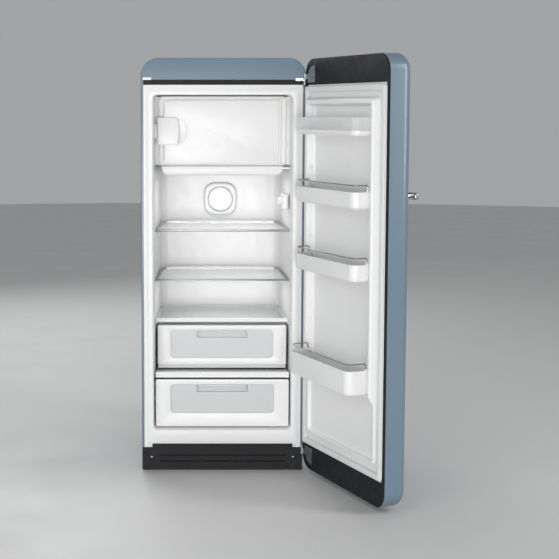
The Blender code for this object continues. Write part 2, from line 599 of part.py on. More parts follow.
def make_drawer_cover(cabinet):
    y0, y1 = SHELF_FRONT, SHELF_BACK
    front = cavity_half(y0) - SHELF_SIDE_GAP
    trim = block(-front, front, y0, y0 + COVER_TRIM_DEPTH, COVER_LEVEL, COVER_LEVEL + COVER_TRIM)
    cabinet.add("drawer_cover_trim", trim, "white_plastic")
    pane = tapered(y0 + COVER_TRIM_DEPTH + GAP, y1, SHELF_SIDE_GAP, 0.020)
    base = COVER_LEVEL + 0.004
    cabinet.add("drawer_cover_glass", prism(pane, along_z, base, base + GLASS_THICKNESS), "clear_glass")
    plate = prism(tapered(DIVIDER_FRONT, y1, DIVIDER_SIDE_GAP, 0.020), along_z, DIVIDER_LOW + 0.012,
                  DIVIDER_LOW + 0.012 + DIVIDER_PLATE)
    half = cavity_half(DIVIDER_FRONT) - DIVIDER_SIDE_GAP - 0.0015
    lip = block(-half, half, DIVIDER_FRONT - 0.006, DIVIDER_FRONT + 0.012, DIVIDER_LOW, DIVIDER_HIGH)
    cabinet.add("drawer_divider", plate, "white_plastic", joined(lip))


def make_drawer(group, name, sizes):
    front, low, high, back = sizes["front"], sizes["low"], sizes["high"], CAVITY_DEPTH - sizes["back_gap"]
    half = cavity_half(front) - sizes["inset"]
    narrow = half - (cavity_half(front) - cavity_half(back))
    window_high = high - WINDOW_TOP_DROP
    window = rounded(-WINDOW_HALF, WINDOW_HALF, window_high - sizes["window"], window_high,
                     WINDOW_CORNER)
    panel = rounded(-half, half, sizes["panel_low"], high, 0.005)
    group.add(f"{name}_drawer_front", frame_ring(panel, window, along_y, front, front + FRONT_THICKNESS),
              "white_plastic")
    start = front + FRONT_THICKNESS + GAP

    def plan(inset):
        y0, y1 = start + inset, back - inset
        wide, slim = half - 0.002 - inset, narrow - inset
        return [(-wide, y0), (wide, y0), (slim, y1 - 0.012), (slim - 0.012, y1), (-slim + 0.012, y1),
                (-slim, y1 - 0.012)]

    tub = [along_z(plan(0), low), along_z(plan(0), high - 0.003),
           along_z(plan(DRAWER_WALL), high - 0.003), along_z(plan(DRAWER_WALL), low + DRAWER_WALL)]
    grip_high = window_high - GRIP_DROP
    grip_low = grip_high - GRIP_HEIGHT
    pocket = block(-GRIP_HALF - DRAWER_WALL, GRIP_HALF + DRAWER_WALL, start + 0.0005,
                   start + GRIP_DEPTH + DRAWER_WALL, grip_low - DRAWER_WALL, grip_high + DRAWER_WALL)
    hollow = block(-GRIP_HALF, GRIP_HALF, start - 0.005, start + GRIP_DEPTH, grip_low, grip_high)
    group.add(f"{name}_drawer_tub", loft(tub), "grey_clear", joined(pocket) + cut(hollow))


def make_ice_box(cabinet, flap):
    half = cavity_half(ICE_FRONT) - ICE_SIDE_GAP
    low, high = ICE_LOW, CEILING - ICE_TOP_GAP
    y_frame = ICE_FRONT + FLAP_THICKNESS + 0.0015
    y_shell = y_frame + FRAME_DEPTH + GAP
    hinge_x, hinge_y = FLAP_AXIS.x, FLAP_AXIS.y
    left = -OPENING + FLAP_LEFT
    flap_low, flap_high = FLAP_AXIS.z, CEILING - FLAP_TOP_GAP

    outer = rounded(-half, half, low, high, 0.018)
    opening = rounded(-half + 0.024, half - 0.032, low + 0.018, high - 0.022, 0.012)
    lugs = [block(hinge_x - 0.0065, hinge_x + 0.0065, ICE_FRONT - 0.0005, y_frame + 0.003, z0, z1)
            for z0, z1 in ((flap_low - 0.007, flap_low - 0.001), (flap_high + 0.001, flap_high + 0.007))]
    pin_hole = rod(along_z, hinge_x, hinge_y, 0.002 + RUNNING, low, high, 12)
    cabinet.add("ice_box_frame", frame_ring(outer, opening, along_y, y_frame, y_frame + FRAME_DEPTH),
                "white_plastic", joined(*lugs) + cut(pin_hole))

    depth = CAVITY_DEPTH - ICE_BACK_GAP
    slim = half - (cavity_half(ICE_FRONT) - cavity_half(depth))

    def box_loop(width, inset, y):
        return along_y(rounded(-width + inset, width - inset, low + inset, high - inset, 0.012), y)

    cabinet.add("ice_box_shell", loft([box_loop(slim, 0, depth), box_loop(half, 0, y_shell),
                                       box_loop(half, ICE_WALL, y_shell),
                                       box_loop(slim, ICE_WALL, depth - ICE_WALL)]), "aluminium")

    tray_low = low - TRAY_DROP
    wide = half - 0.012
    tray = rounded(-wide, wide, tray_low, low - GAP, (TRAY_CORNER, TRAY_CORNER, 0.002, 0.002))
    cabinet.add("ice_box_tray", prism(tray, along_y, ICE_FRONT + 0.003, depth), "white_plastic")

    right = hinge_x - BARREL_RADIUS + 0.0005
    panel = rounded(left, right, flap_low, flap_high, 0.006)
    barrel = rod(along_z, hinge_x, hinge_y, BARREL_RADIUS, flap_low + 0.0005, flap_high - 0.0005, 12)
    pin = rod(along_z, hinge_x, hinge_y, 0.002, flap_low - 0.0065, flap_high + 0.0065, 12)
    flap.add("ice_flap", prism(panel, along_y, ICE_FRONT, ICE_FRONT + FLAP_THICKNESS), "white_plastic",
             joined(barrel, pin))
    latch_left = -OPENING + LATCH_OUTER
    latch_low, latch_high = CEILING - LATCH_DROP, CEILING - LATCH_DROP + LATCH_HEIGHT
    latch = rounded(latch_left, latch_left + LATCH_WIDTH, latch_low, latch_high, (0.003, 0.014, 0.014, 0.003))
    hook = block(latch_left, left - 0.001, ICE_FRONT - GAP - 0.001, ICE_FRONT + 0.008, latch_low + 0.030,
                 latch_high - 0.030)
    scoop = block(latch_left + LATCH_WIDTH - 0.014, latch_left + LATCH_WIDTH + 0.01, ICE_FRONT - 0.0055,
                  ICE_FRONT + 0.01, latch_low + 0.010, latch_high - 0.010)
    grip = prism(latch, along_y, ICE_FRONT - LATCH_PROUD, ICE_FRONT - GAP)
    flap.add("ice_flap_latch", grip, "white_plastic", joined(hook) + cut(scoop))


def make_fan(cabinet, rotor):
    back = CAVITY_DEPTH - GAP
    count = 24
    squircle = []
    for i in range(count):
        angle = 2 * math.pi * i / count
        c, s = math.cos(angle), math.sin(angle)
        squircle.append((FAN_HOUSING * math.copysign(abs(c) ** 0.55, c),
                         FAN_LEVEL + FAN_HOUSING * math.copysign(abs(s) ** 0.55, s)))
    hole = circle(0, FAN_LEVEL, FAN_RADIUS, count)
    front = back - FAN_DEPTH
    cabinet.add("fan_housing", frame_ring(squircle, hole, along_y, front, back), "white_plastic")
    reach = FAN_RADIUS * math.cos(math.pi / count) - GAP
    ribs = []
    for number in range(3):
        angle = math.radians(90 + 120 * number)
        along = Vector((math.cos(angle), 0, math.sin(angle)))
        across = Vector((-math.sin(angle), 0, math.cos(angle))) * 0.003
        ribs.append(loft([[Vector((0, front + y, FAN_LEVEL)) + along * radius + across * side
                           for y, side in ((0.002, -1), (0.002, 1), (0.005, 1), (0.005, -1))]
                          for radius in (0.010, reach)]))
    cabinet.add("fan_cover", rod(along_y, 0, FAN_LEVEL, FAN_RADIUS - FAN_SLIT, front, front + 0.003, 32),
                "white_plastic", joined(*ribs))
    motor_front = back - 0.012
    motor = rod(along_y, 0, FAN_LEVEL, FAN_MOTOR_RADIUS, motor_front, back, 16)
    cabinet.add("fan_motor", motor, "black_plastic")
    y1 = motor_front - 0.001
    blades = []
    for number in range(5):
        angle = 2 * math.pi * number / 5
        along = Vector((math.cos(angle), 0, math.sin(angle)))
        across = Vector((-math.sin(angle), 0, math.cos(angle)))
        ends = []
        for reach, width in ((0.010, 0.009), (ROTOR_RADIUS, 0.015)):
            centre = Vector((0, y1 - ROTOR_DEPTH / 2, FAN_LEVEL)) + along * reach
            ends.append([centre + across * (width * a) + Vector((0, b, 0))
                         for a, b in ((-0.5, -0.0035), (0.5, 0.0015), (0.5, 0.003), (-0.5, -0.002))])
        blades.append(loft(ends))
    rotor.add("fan_rotor", rod(along_y, 0, FAN_LEVEL, 0.013, y1 - ROTOR_DEPTH, y1, 16), "black_plastic",
              joined(*blades))


def make_controls(cabinet, knob, switch):
    y0, y1 = CONTROL_Y, CONTROL_Y + CONTROL_LENGTH
    low, high = CONTROL_LEVEL - CONTROL_HEIGHT / 2, CONTROL_LEVEL + CONTROL_HEIGHT / 2
    wall = cavity_half(y1 + LAMP_LENGTH) - 0.001
    face = wall - CONTROL_DEPTH
    housing = rounded(y0, y1, low, high, 0.006)
    cabinet.add("thermostat_housing", prism(housing, along_x, face, wall), "white_plastic")
    lens = rounded(y1 + GAP, y1 + LAMP_LENGTH, low + 0.004, high - 0.004, 0.008)
    cabinet.add("lamp_cover", prism(lens, along_x, face + 0.003, wall), "clear_glass")
    centre = (y0 + y1) / 2
    grip = block(face - KNOB_DEPTH - 0.004, face - KNOB_DEPTH + 0.001, centre - 0.0025, centre + 0.0025,
                 CONTROL_LEVEL - 0.014, CONTROL_LEVEL + 0.014)
    dial = rod(along_x, centre, CONTROL_LEVEL, KNOB_RADIUS, face - KNOB_DEPTH, face - GAP, 20)
    knob.add("thermostat_knob", dial, "white_plastic", joined(grip))
    switch.add("light_switch", rod(along_x, SWITCH_Y, SWITCH_LEVEL, SWITCH_RADIUS, OPENING - SWITCH_REACH,
                                   OPENING + LINER_WALL - 0.0005, 12), "white_plastic")


# Door, drawn closed


def door_outline(inset):
    radius = max(SHOULDER - inset, 0.004)
    return rounded(-HALF + inset, HALF - inset, DOOR_LOW + inset, DOOR_HIGH - inset, radius, 5)


def door_loops(inset, rear):
    """The door's outer surface drawn in by an inset, from a rear plane to the middle of its crowned front."""
    side_end = -DOOR_GAP - (DOOR_DEPTH - DOOR_CROWN - DOOR_ROUND)
    radius = DOOR_ROUND - inset
    loops = [along_y(door_outline(inset), rear), along_y(door_outline(inset), side_end)]
    for step in range(1, 5):
        angle = math.radians(22.5 * step)
        loops.append(along_y(door_outline(inset + radius * (1 - math.cos(angle))),
                             side_end - radius * math.sin(angle)))
    middle = HALF - 0.016
    for share in (0.12, 0.3, 0.6, 1.0):
        loops.append(along_y(door_outline(DOOR_ROUND + share * (middle - DOOR_ROUND)),
                             side_end - radius - DOOR_CROWN * (1 - (1 - share) ** 2)))
    return loops


def make_door(door):
    rear = -DOOR_GAP
    outer = door_loops(0, rear)
    door.add("door_shell", loft(list(reversed(door_loops(SHEET, rear))) + outer), "blue_paint")
    skin = SHEET + GAP
    door.add("door_insulation", loft(door_loops(skin, rear - FRAME_THICKNESS - GAP)), "foam")

    half = HALF - FRAME_EDGE
    window = rounded(-half, half, PLATE_LOW, PLATE_HIGH, 0.003, 5)
    door.add("door_frame", frame_ring(door_outline(skin), window, along_y, rear - FRAME_THICKNESS, rear),
             "black_plastic")

    def dyke(inset, y):
        reach = HALF - DYKE_OUTER - inset
        return along_y(rounded(-reach, reach, DYKE_LOW + inset, DYKE_HIGH - inset, 0.012, 5), y)

    plate = rounded(-half + GAP, half - GAP, PLATE_LOW + GAP, PLATE_HIGH - GAP, 0.003, 5)
    crest = rear + DYKE_HEIGHT
    liner = [along_y(plate, rear - FRAME_THICKNESS), along_y(plate, rear), dyke(0, rear),
             dyke(DYKE_SLOPE, crest), dyke(DYKE_WIDTH - DYKE_SLOPE, crest), dyke(DYKE_WIDTH, rear + 0.0005)]
    reach = HALF - DYKE_OUTER - LOWER_DYKE_WIDTH
    lower = prism(rounded(-reach, reach, DYKE_LOW + LOWER_DYKE_WIDTH, LOWER_DYKE_TOP, 0.015), along_y,
                  rear + 0.0005, crest + 0.01)
    step = [(rear + LOWER_DYKE_HEIGHT, DYKE_LOW - 0.01), (rear + LOWER_DYKE_HEIGHT, LOWER_DYKE_TOP - 0.010),
            (crest + 0.01, LOWER_DYKE_TOP + 0.018), (crest + 0.01, DYKE_LOW - 0.01)]
    trim = loft([along_x(step, -HALF), along_x(step, HALF)])
    door.add("door_liner", loft(liner), "white_plastic", cut(lower, trim))

    def seal(inset):
        reach = HALF - GASKET_INSET - inset
        z0, z1 = PLATE_LOW + GASKET_MARGIN + inset, PLATE_HIGH - GASKET_MARGIN - inset
        return rounded(-reach, reach, z0, z1, 0.008 if inset < 0.01 else 0.004, 5)

    front = -GAP
    door.add("door_gasket", loft([along_y(seal(0), rear + GAP), along_y(seal(0.003), front),
                                  along_y(seal(GASKET_WIDTH - 0.003), front),
                                  along_y(seal(GASKET_WIDTH), rear + GAP)], ring=True), "gasket")
    make_hinge_plates(door)
    make_handle(door)


def make_hinge_plates(door):
    """A D-shaped plate at each end, round towards the door's corner, with a strap to its knuckle."""
    face, proud = -DOOR_GAP + GAP, -DOOR_GAP + GAP + LEAF_THICKNESS
    x1, x0 = HALF - PLATE_START, HALF - PLATE_START - PLATE_WIDTH
    top_knuckle, bottom_knuckle = TOP_KNUCKLE + GAP, BOTTOM_KNUCKLE - GAP
    round_corner = 0.040
    for name, low, high, radii, k0, k1 in (
        ("top", PLATE_HIGH + 0.009, PLATE_HIGH + 0.009 + PLATE_HEIGHT, (0.002, 0.002, round_corner, 0.002),
         top_knuckle, top_knuckle + DOOR_KNUCKLE),
        ("bottom", PLATE_LOW - 0.009 - PLATE_HEIGHT, PLATE_LOW - 0.009, (0.002, round_corner, 0.002, 0.002),
         bottom_knuckle - DOOR_KNUCKLE, bottom_knuckle),
    ):
        strap = block(x1 - 0.004, HINGE.x + 0.0005, face, proud - 0.0001, k0 + 0.0025, k1 - 0.0025)
        barrel = knuckle_mesh(k0, k1)
        bore = knuckle_mesh(k0 - 0.01, k1 + 0.01, PIN_RADIUS + GAP)
        middle = (low + high) / 2
        holes = [rod(along_y, x, z, PLATE_HOLE, face - 0.01, proud + 0.01, 10)
                 for x, z in ((x0 + 0.010, middle - 0.016), (x0 + 0.010, middle + 0.016),
                              (x0 + 0.030, middle - 0.010), (x0 + 0.030, middle + 0.010))]
        door.add(f"door_hinge_plate_{name}", prism(rounded(x0, x1, low, high, radii), along_y, face, proud),
                 "grey_steel", joined(strap, barrel) + cut(bore, *holes))


def door_front(x):
    """The Y of the door's front surface at half height, from its crowned outline."""
    inset = HALF - abs(x)
    middle = HALF - 0.016
    share = min(max((inset - DOOR_ROUND) / (middle - DOOR_ROUND), 0), 1)
    return -DOOR_GAP - DOOR_DEPTH + DOOR_CROWN * (1 - share) ** 2


def make_handle(door):
    """A horizontal bar near the free edge, on a squared post at each end."""
    x0 = -HALF + HANDLE_INSET
    x1 = x0 + HANDLE_LENGTH
    back = door_front(x0 + 0.02) - HANDLE_STANDOFF
    level = HEIGHT - HANDLE_DROP
    profile = rounded(back - HANDLE_THICKNESS, back, level - HANDLE_HEIGHT / 2, level + HANDLE_HEIGHT / 2,
                      0.005)

    def section(x, share):
        cy, cz = back - HANDLE_THICKNESS / 2, level
        return along_x([(cy + (y - cy) * share, cz + (z - cz) * share) for y, z in profile], x)

    bar = loft([section(x0, 0.55), section(x0 + 0.004, 1), section(x1 - 0.004, 1), section(x1, 0.55)])
    posts = []
    for x in (x0 + 0.002, x1 - 0.002 - POST_WIDTH):
        start = min(door_front(x), door_front(x + POST_WIDTH)) - GAP
        outline = rounded(x, x + POST_WIDTH, level - POST_HEIGHT / 2, level + POST_HEIGHT / 2, 0.003)
        posts.append(prism(outline, along_y, back - 0.003, start))
    door.add("door_handle", bar, "chrome", joined(*posts))


# Door bins


def bin_level(name):
    if name == "bottle":
        return BOTTLE_LEVEL
    return BOTTLE_LEVEL + BIN_SHARES[name] * (DYKE_HIGH - BOTTLE_LEVEL)


def bin_plan(reach, inset):
    rear = -DOOR_GAP + 0.0008
    front_radius = BIN_CORNER - inset
    return rounded(-BIN_HALF + inset, BIN_HALF - inset, rear + inset, -DOOR_GAP + reach - inset,
                   (0.004 - inset / 2, 0.004 - inset / 2, front_radius, front_radius), 4)


def bin_loops(reach, low, high):
    """An open tub with a bevelled foot."""
    return [along_z(bin_plan(reach, 0.003), low), along_z(bin_plan(reach, 0), low + 0.004),
            along_z(bin_plan(reach, 0), high), along_z(bin_plan(reach, BIN_WALL), high),
            along_z(bin_plan(reach, BIN_WALL), low + BIN_WALL)]


def rail_points(reach, level, lug_y):
    """The rail's path: out of one end lug, along the bin's rim with round corners, and into the other."""
    side, front = BIN_HALF - 0.006, -DOOR_GAP + reach - 0.006
    radius = BIN_CORNER - 0.006
    points = [(side, lug_y, level)]
    for cx, start in ((side - radius, 0), (-side + radius, 90)):
        for step in range(5):
            angle = math.radians(start + 22.5 * step)
            points.append((cx + radius * math.cos(angle), front - radius + radius * math.sin(angle), level))
    return points + [(-side, lug_y, level)]


def make_bin(group, name, reach, height):
    low = bin_level(name)
    rear = -DOOR_GAP + 0.0008
    level = low + height + RAIL_RISE
    lugs = []
    for side in (-1, 1):
        x0, x1 = sorted((side * BIN_HALF, side * (BIN_HALF - 0.011)))
        lugs.append(block(x0, x1, rear + 0.001, rear + LUG_DEPTH, low + height - 0.012, level + 0.006))
    tub = bin_loops(reach, low, low + height)
    group.add(f"{name}_bin", loft(tub), "white_plastic", joined(*lugs))

    points = rail_points(reach, level, rear + LUG_DEPTH + GAP)
    group.add_tube(f"{name}_bin_rail", points, RAIL_RADIUS, 2, "chrome")


def make_dairy_bin(group):
    """A shallow white tray under a clear window that closes its front."""
    low = bin_level("dairy")
    group.add("dairy_bin", loft(bin_loops(BIN_REACH, low, low + DAIRY_BASE)), "white_plastic")
    outer, inner = bin_plan(BIN_REACH, 0), bin_plan(BIN_REACH, BIN_WALL)
    start = low + DAIRY_BASE + GAP
    group.add("dairy_bin_window", frame_ring(outer, inner, along_z, start, low + DAIRY_HEIGHT), "clear_glass")


def main():
    for old in list(bpy.data.objects):
        bpy.data.objects.remove(old, do_unlink=True)

    root = Group("refrigerator")
    cabinet = Group("cabinet", (0, 0, 0), root)
    door = Group("door", HINGE, root)
    flap = Group("ice_flap_axis", FLAP_AXIS, root)
    feet = {name: Group(f"foot_{name}_axis", (side * (HALF - FOOT_INSET_X), FOOT_Y, 0), root)
            for name, side in (("left", -1), ("right", 1))}
    roller_x = HALF - ROLLER_INSET_X
    rollers = {name: Group(f"roller_{name}_axis", (side * roller_x, ROLLER_Y, ROLLER_RADIUS), root)
               for name, side in (("left", -1), ("right", 1))}

    make_cabinet(cabinet)
    make_base(cabinet, feet, rollers)
    make_machinery(cabinet)
    for name in SHELF_SHARES:
        make_shelf(Group(f"{name}_shelf", (0, SHELF_FRONT, shelf_level(name)), root), name)
    make_drawer_cover(cabinet)
    for name, sizes in (("upper", UPPER_DRAWER), ("lower", LOWER_DRAWER)):
        make_drawer(Group(f"{name}_drawer", (0, sizes["front"], sizes["low"]), root), name, sizes)
    make_ice_box(cabinet, flap)
    make_fan(cabinet, Group("fan_axis", (0, CAVITY_DEPTH - 0.020, FAN_LEVEL), root))
    knob_y = CONTROL_Y + CONTROL_LENGTH / 2
    make_controls(cabinet, Group("knob_axis", (OPENING, knob_y, CONTROL_LEVEL), root),
                  Group("switch_axis", (OPENING, SWITCH_Y, SWITCH_LEVEL), root))
    make_door(door)
    make_dairy_bin(Group("dairy_bin_slide", (0, -DOOR_GAP, bin_level("dairy")), door))
    for name, reach, height in (("upper", BIN_REACH, BIN_HEIGHT), ("middle", BIN_REACH, BIN_HEIGHT),
                                ("bottle", BOTTLE_REACH, BOTTLE_HEIGHT)):
        make_bin(Group(f"{name}_bin_slide", (0, -DOOR_GAP, bin_level(name)), door), name, reach, height)
    door.empty.rotation_euler.z = math.radians(DOOR_OPEN)
    centre_on_base(root)


def centre_on_base(root):
    """Moves the object so that its bounding box's base is centred on the origin."""
    bpy.context.view_layer.update()
    graph = bpy.context.evaluated_depsgraph_get()
    corners = []
    for item in bpy.data.objects:
        if item.type in {"MESH", "CURVE"} and not item.hide_render:
            shown = item.evaluated_get(graph)
            mesh = shown.to_mesh()
            corners += [shown.matrix_world @ vertex.co for vertex in mesh.vertices]
            shown.to_mesh_clear()
    for axis in (0, 1):
        values = [corner[axis] for corner in corners]
        root.empty.location[axis] = -(min(values) + max(values)) / 2
    root.empty.location.z = -min(corner.z for corner in corners)


main()
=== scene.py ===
"""Looks of the retro single-door refrigerator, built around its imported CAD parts.

Lengths are metres. Cabinet pieces are drawn about the cabinet's own centre line, with Y = 0 on its front face
and Z = 0 on the floor. Door pieces are drawn in the same coordinates with the door shut, then turned open.
"""

import json
import math

import bmesh
import bpy
from mathutils import Matrix, Vector


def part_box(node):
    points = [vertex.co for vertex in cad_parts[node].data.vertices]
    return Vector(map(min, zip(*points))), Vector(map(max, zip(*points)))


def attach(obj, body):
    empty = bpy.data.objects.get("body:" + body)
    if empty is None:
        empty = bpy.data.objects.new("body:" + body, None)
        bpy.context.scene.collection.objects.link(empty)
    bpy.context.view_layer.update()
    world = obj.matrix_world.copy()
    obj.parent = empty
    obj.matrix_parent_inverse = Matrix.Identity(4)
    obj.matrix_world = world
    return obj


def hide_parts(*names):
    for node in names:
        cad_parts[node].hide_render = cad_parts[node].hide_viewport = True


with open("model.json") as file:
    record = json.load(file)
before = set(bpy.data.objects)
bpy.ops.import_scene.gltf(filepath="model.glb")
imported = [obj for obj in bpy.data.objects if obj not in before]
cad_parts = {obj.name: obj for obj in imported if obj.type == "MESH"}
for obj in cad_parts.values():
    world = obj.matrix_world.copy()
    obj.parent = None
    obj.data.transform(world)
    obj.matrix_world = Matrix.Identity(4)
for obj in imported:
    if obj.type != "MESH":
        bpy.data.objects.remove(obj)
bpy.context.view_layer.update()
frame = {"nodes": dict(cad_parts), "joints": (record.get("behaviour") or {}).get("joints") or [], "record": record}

shell_low, shell_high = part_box("cabinet_shell")
HALF = (shell_high.x - shell_low.x) / 2
DEPTH, HEIGHT = shell_high.y - shell_low.y, shell_high.z
CABINET = Matrix.Translation(((shell_low.x + shell_high.x) / 2, shell_low.y, 0))
door_hinge = next(joint for joint in frame["joints"] if joint["name"] == "door_hinge")
TO_HINGE = Matrix.Translation(door_hinge["pos_m"])
OPEN = Matrix.Rotation(-math.radians(door_hinge["range_deg"][0]), 4, "Z")
DOOR = TO_HINGE @ OPEN @ TO_HINGE.inverted() @ CABINET

SLOT_OF = {part["node"]: part["material_slot"] for part in frame["record"]["subparts"]}
BODY_OF = {name: body for body, names in frame["record"]["behaviour"]["bodies"].items() for name in names}


def place_of(body):
    """Where the drawing of a body's pieces goes: with the cabinet, or turned open with the door."""
    return DOOR if body == "door" or body.startswith("bin_") else CABINET


def box_in(name):
    """Lowest and highest corners of a CAD node, in the cabinet's or the shut door's coordinates."""
    back = place_of(BODY_OF[name]).inverted()
    points = [back @ v.co for v in frame["nodes"][name].data.vertices]
    low = Vector(min(p[axis] for p in points) for axis in range(3))
    high = Vector(max(p[axis] for p in points) for axis in range(3))
    return low, high


def centre_of(low, high):
    return [(a + b) / 2 for a, b in zip(low, high)]


# Shared sizes
GAP = 0.0003
SHEET = 0.001  # painted steel
SHOULDER = 0.060  # radius of the round shoulders
EDGE_ROUND = 0.004  # front edge of the cabinet's wrap
CORNER_STEPS = 14
liner_low, liner_high = box_in("cabinet_liner")
FASCIA_LOW = box_in("front_strip")[1].z + GAP
CEILING = 1.397
SILL = 0.152
OPENING = 0.2565  # half width of the cavity at its mouth
CAVITY_DEPTH = 0.500
DRAFT = 0.0165
door_low, door_high = box_in("door_shell")
REAR = door_high.y  # rear face of the shut door


# Outlines: lists of (a, b) points, anticlockwise


def rounded(x0, x1, y0, y1, radii, steps=6):
    """A rectangle with a radius for each corner, from its low corner on."""
    if isinstance(radii, (int, float)):
        radii = (radii,) * 4
    points = []
    for corner, radius in enumerate(radii):
        cx = x0 + radius if corner in (0, 3) else x1 - radius
        cy = y0 + radius if corner in (0, 1) else y1 - radius
        for step in range(steps + 1):
            angle = math.radians(180 + 90 * (corner + step / steps))
            points.append((cx + radius * math.cos(angle), cy + radius * math.sin(angle)))
    return points


def quarter(steps, start=0):
    """Pairs of 1 - cos and 1 - sin over equal steps of a quarter turn."""
    angles = [math.radians(90 * step / steps) for step in range(start, steps + 1)]
    return [(1 - math.cos(angle), 1 - math.sin(angle)) for angle in angles]


def circle(cx, cy, radius, count=32):
    turns = [2 * math.pi * i / count for i in range(count)]
    return [(cx + radius * math.cos(a), cy + radius * math.sin(a)) for a in turns]


def squircle(cx, cy, half, power=0.6, count=64):
    points = []
    for i in range(count):
        angle = 2 * math.pi * i / count
        c, s = math.cos(angle), math.sin(angle)
        points.append((cx + half * math.copysign(abs(c) ** power, c),
                       cy + half * math.copysign(abs(s) ** power, s)))
    return points


def along_x(points, x):
    return [Vector((x, a, b)) for a, b in points]


def along_y(points, y):
    return [Vector((a, y, b)) for a, b in points]


def along_z(points, z):
    return [Vector((a, b, z)) for a, b in points]


def face(low, high, inset, y, radii, steps=6):
    """A rounded rectangle in X and Z at one Y, drawn in by an inset from a box's sides."""
    return along_y(rounded(low.x + inset, high.x - inset, low.z + inset, high.z - inset, radii, steps), y)


# Meshes


def loft(loops, ring=False):
    """One closed skin through loops of equal count, capped at its ends, or joined end to end as a ring."""
    bm = bmesh.new()
    rows = [[bm.verts.new(p) for p in loop] for loop in loops]
    pairs = list(zip(rows, rows[1:])) + ([(rows[-1], rows[0])] if ring else [])
    for first, second in pairs:
        for i in range(len(first)):
            j = (i + 1) % len(first)
            bm.faces.new((first[i], first[j], second[j], second[i]))
    if not ring:
        bm.faces.new(list(reversed(rows[0])))
        bm.faces.new(rows[-1])
    return facing_out(bm)


def facing_out(bm):
    bmesh.ops.recalc_face_normals(bm, faces=bm.faces)
    if bm.calc_volume(signed=True) < 0:
        bmesh.ops.reverse_faces(bm, faces=bm.faces)
    return bm


def prism(points, place, low, high):
    return loft([place(points, low), place(points, high)])


def block(x0, x1, y0, y1, z0, z1, edge=0.0, segments=3):
    """A box whose edges are all rounded by the given radius."""
    bm = prism([(x0, y0), (x1, y0), (x1, y1), (x0, y1)], along_z, z0, z1)
    if edge:
        bmesh.ops.bevel(bm, geom=bm.edges, offset=edge, segments=segments, profile=0.5, affect="EDGES")
    return bm


def turned(place, cx, cy, profile, count=32):
    """A solid of revolution: profile is (radius, position along the axis) from one end to the other."""
    return loft([place(circle(cx, cy, radius, count), position) for radius, position in profile])


def tube(path, radius, count=12):
    """A round wire along a path, whose frame turns as little as it can from point to point."""
    loops = []
    ahead, behind = path[1:] + path[-1:], path[:1] + path[:-1]
    tangents = [(after - before).normalized() for after, before in zip(ahead, behind)]
    normal = tangents[0].orthogonal().normalized()
    for point, tangent in zip(path, tangents):
        normal = (normal - tangent * normal.dot(tangent)).normalized()
        side = tangent.cross(normal)
        turns = [2 * math.pi * i / count for i in range(count)]
        loops.append([point + normal * (radius * math.cos(a)) + side * (radius * math.sin(a)) for a in turns])
    return loft(loops)


def bent(corners, radius, steps=6):
    """A path through corners, each rounded by an arc of about the given radius."""
    path = [Vector(corners[0])]
    for before, corner, after in zip(corners, corners[1:], corners[2:]):
        before, corner, after = Vector(before), Vector(corner), Vector(after)
        start = corner + (before - corner).normalized() * radius
        end = corner + (after - corner).normalized() * radius
        for step in range(steps + 1):
            t = step / steps
            path.append(start * (1 - t) ** 2 + corner * (2 * t * (1 - t)) + end * t**2)
    return path + [Vector(corners[-1])]


def together(*meshes):
    """Several closed shells in one mesh."""
    target = bmesh.new()
    for bm in meshes:
        spare = bpy.data.meshes.new("spare")
        bm.to_mesh(spare)
        bm.free()
        target.from_mesh(spare)
        bpy.data.meshes.remove(spare)
    return target


def in_scene(name, data):
    made = bpy.data.objects.new(name, data)
    bpy.context.scene.collection.objects.link(made)
    return made


def solid(name, bm):
    """A mesh as an object in the scene."""
    mesh = bpy.data.meshes.new(name)
    bm.to_mesh(mesh)
    bm.free()
    return in_scene(name, mesh)


def carved(bm, *tools, operation="DIFFERENCE"):
    """The mesh with others cut out of it, or joined to it."""
    made = solid("carved", bm)
    spare = [solid("tool", tool) for tool in tools]
    for tool in spare:
        modifier = made.modifiers.new(operation, "BOOLEAN")
        modifier.operation = operation
        modifier.object = tool
    bpy.context.view_layer.update()
    result = bmesh.new()
    result.from_object(made, bpy.context.evaluated_depsgraph_get())
    for item in [made, *spare]:
        mesh = item.data
        bpy.data.objects.remove(item)
        bpy.data.meshes.remove(mesh)
    return result


# Materials

MATERIALS = {}


def new_material(slot, colour, roughness, metallic=0.0, **constants):
    made = MATERIALS[slot] = bpy.data.materials.new(slot + "_look")
    made.use_nodes = True
    shader = made.node_tree.nodes["Principled BSDF"]
    shader.inputs["Base Color"].default_value = (*colour, 1)
    shader.inputs["Roughness"].default_value = roughness
    shader.inputs["Metallic"].default_value = metallic
    for socket, value in constants.items():
        shader.inputs[socket.replace("_", " ")].default_value = value
    return made, shader


def link(made, source, output, target, socket):
    made.node_tree.links.new(source.outputs[output], target.inputs[socket])


def node(made, kind, **values):
    item = made.node_tree.nodes.new(kind)
    for socket, value in values.items():
        item.inputs[socket.replace("_", " ")].default_value = value
    return item


def noise(made, scale, detail=3.0, stretch=(1, 1, 1)):
    """A noise over the piece's own coordinates, in repeats a metre, stretched along an axis if asked."""
    place = node(made, "ShaderNodeTexCoord")
    mapping = node(made, "ShaderNodeMapping", Scale=stretch)
    texture = node(made, "ShaderNodeTexNoise", Scale=scale, Detail=detail)
    link(made, place, "Object", mapping, "Vector")
    link(made, mapping, "Vector", texture, "Vector")
    return texture


def cells(made, scale):
    place = node(made, "ShaderNodeTexCoord")
    texture = node(made, "ShaderNodeTexVoronoi", Scale=scale)
    link(made, place, "Object", texture, "Vector")
    return texture


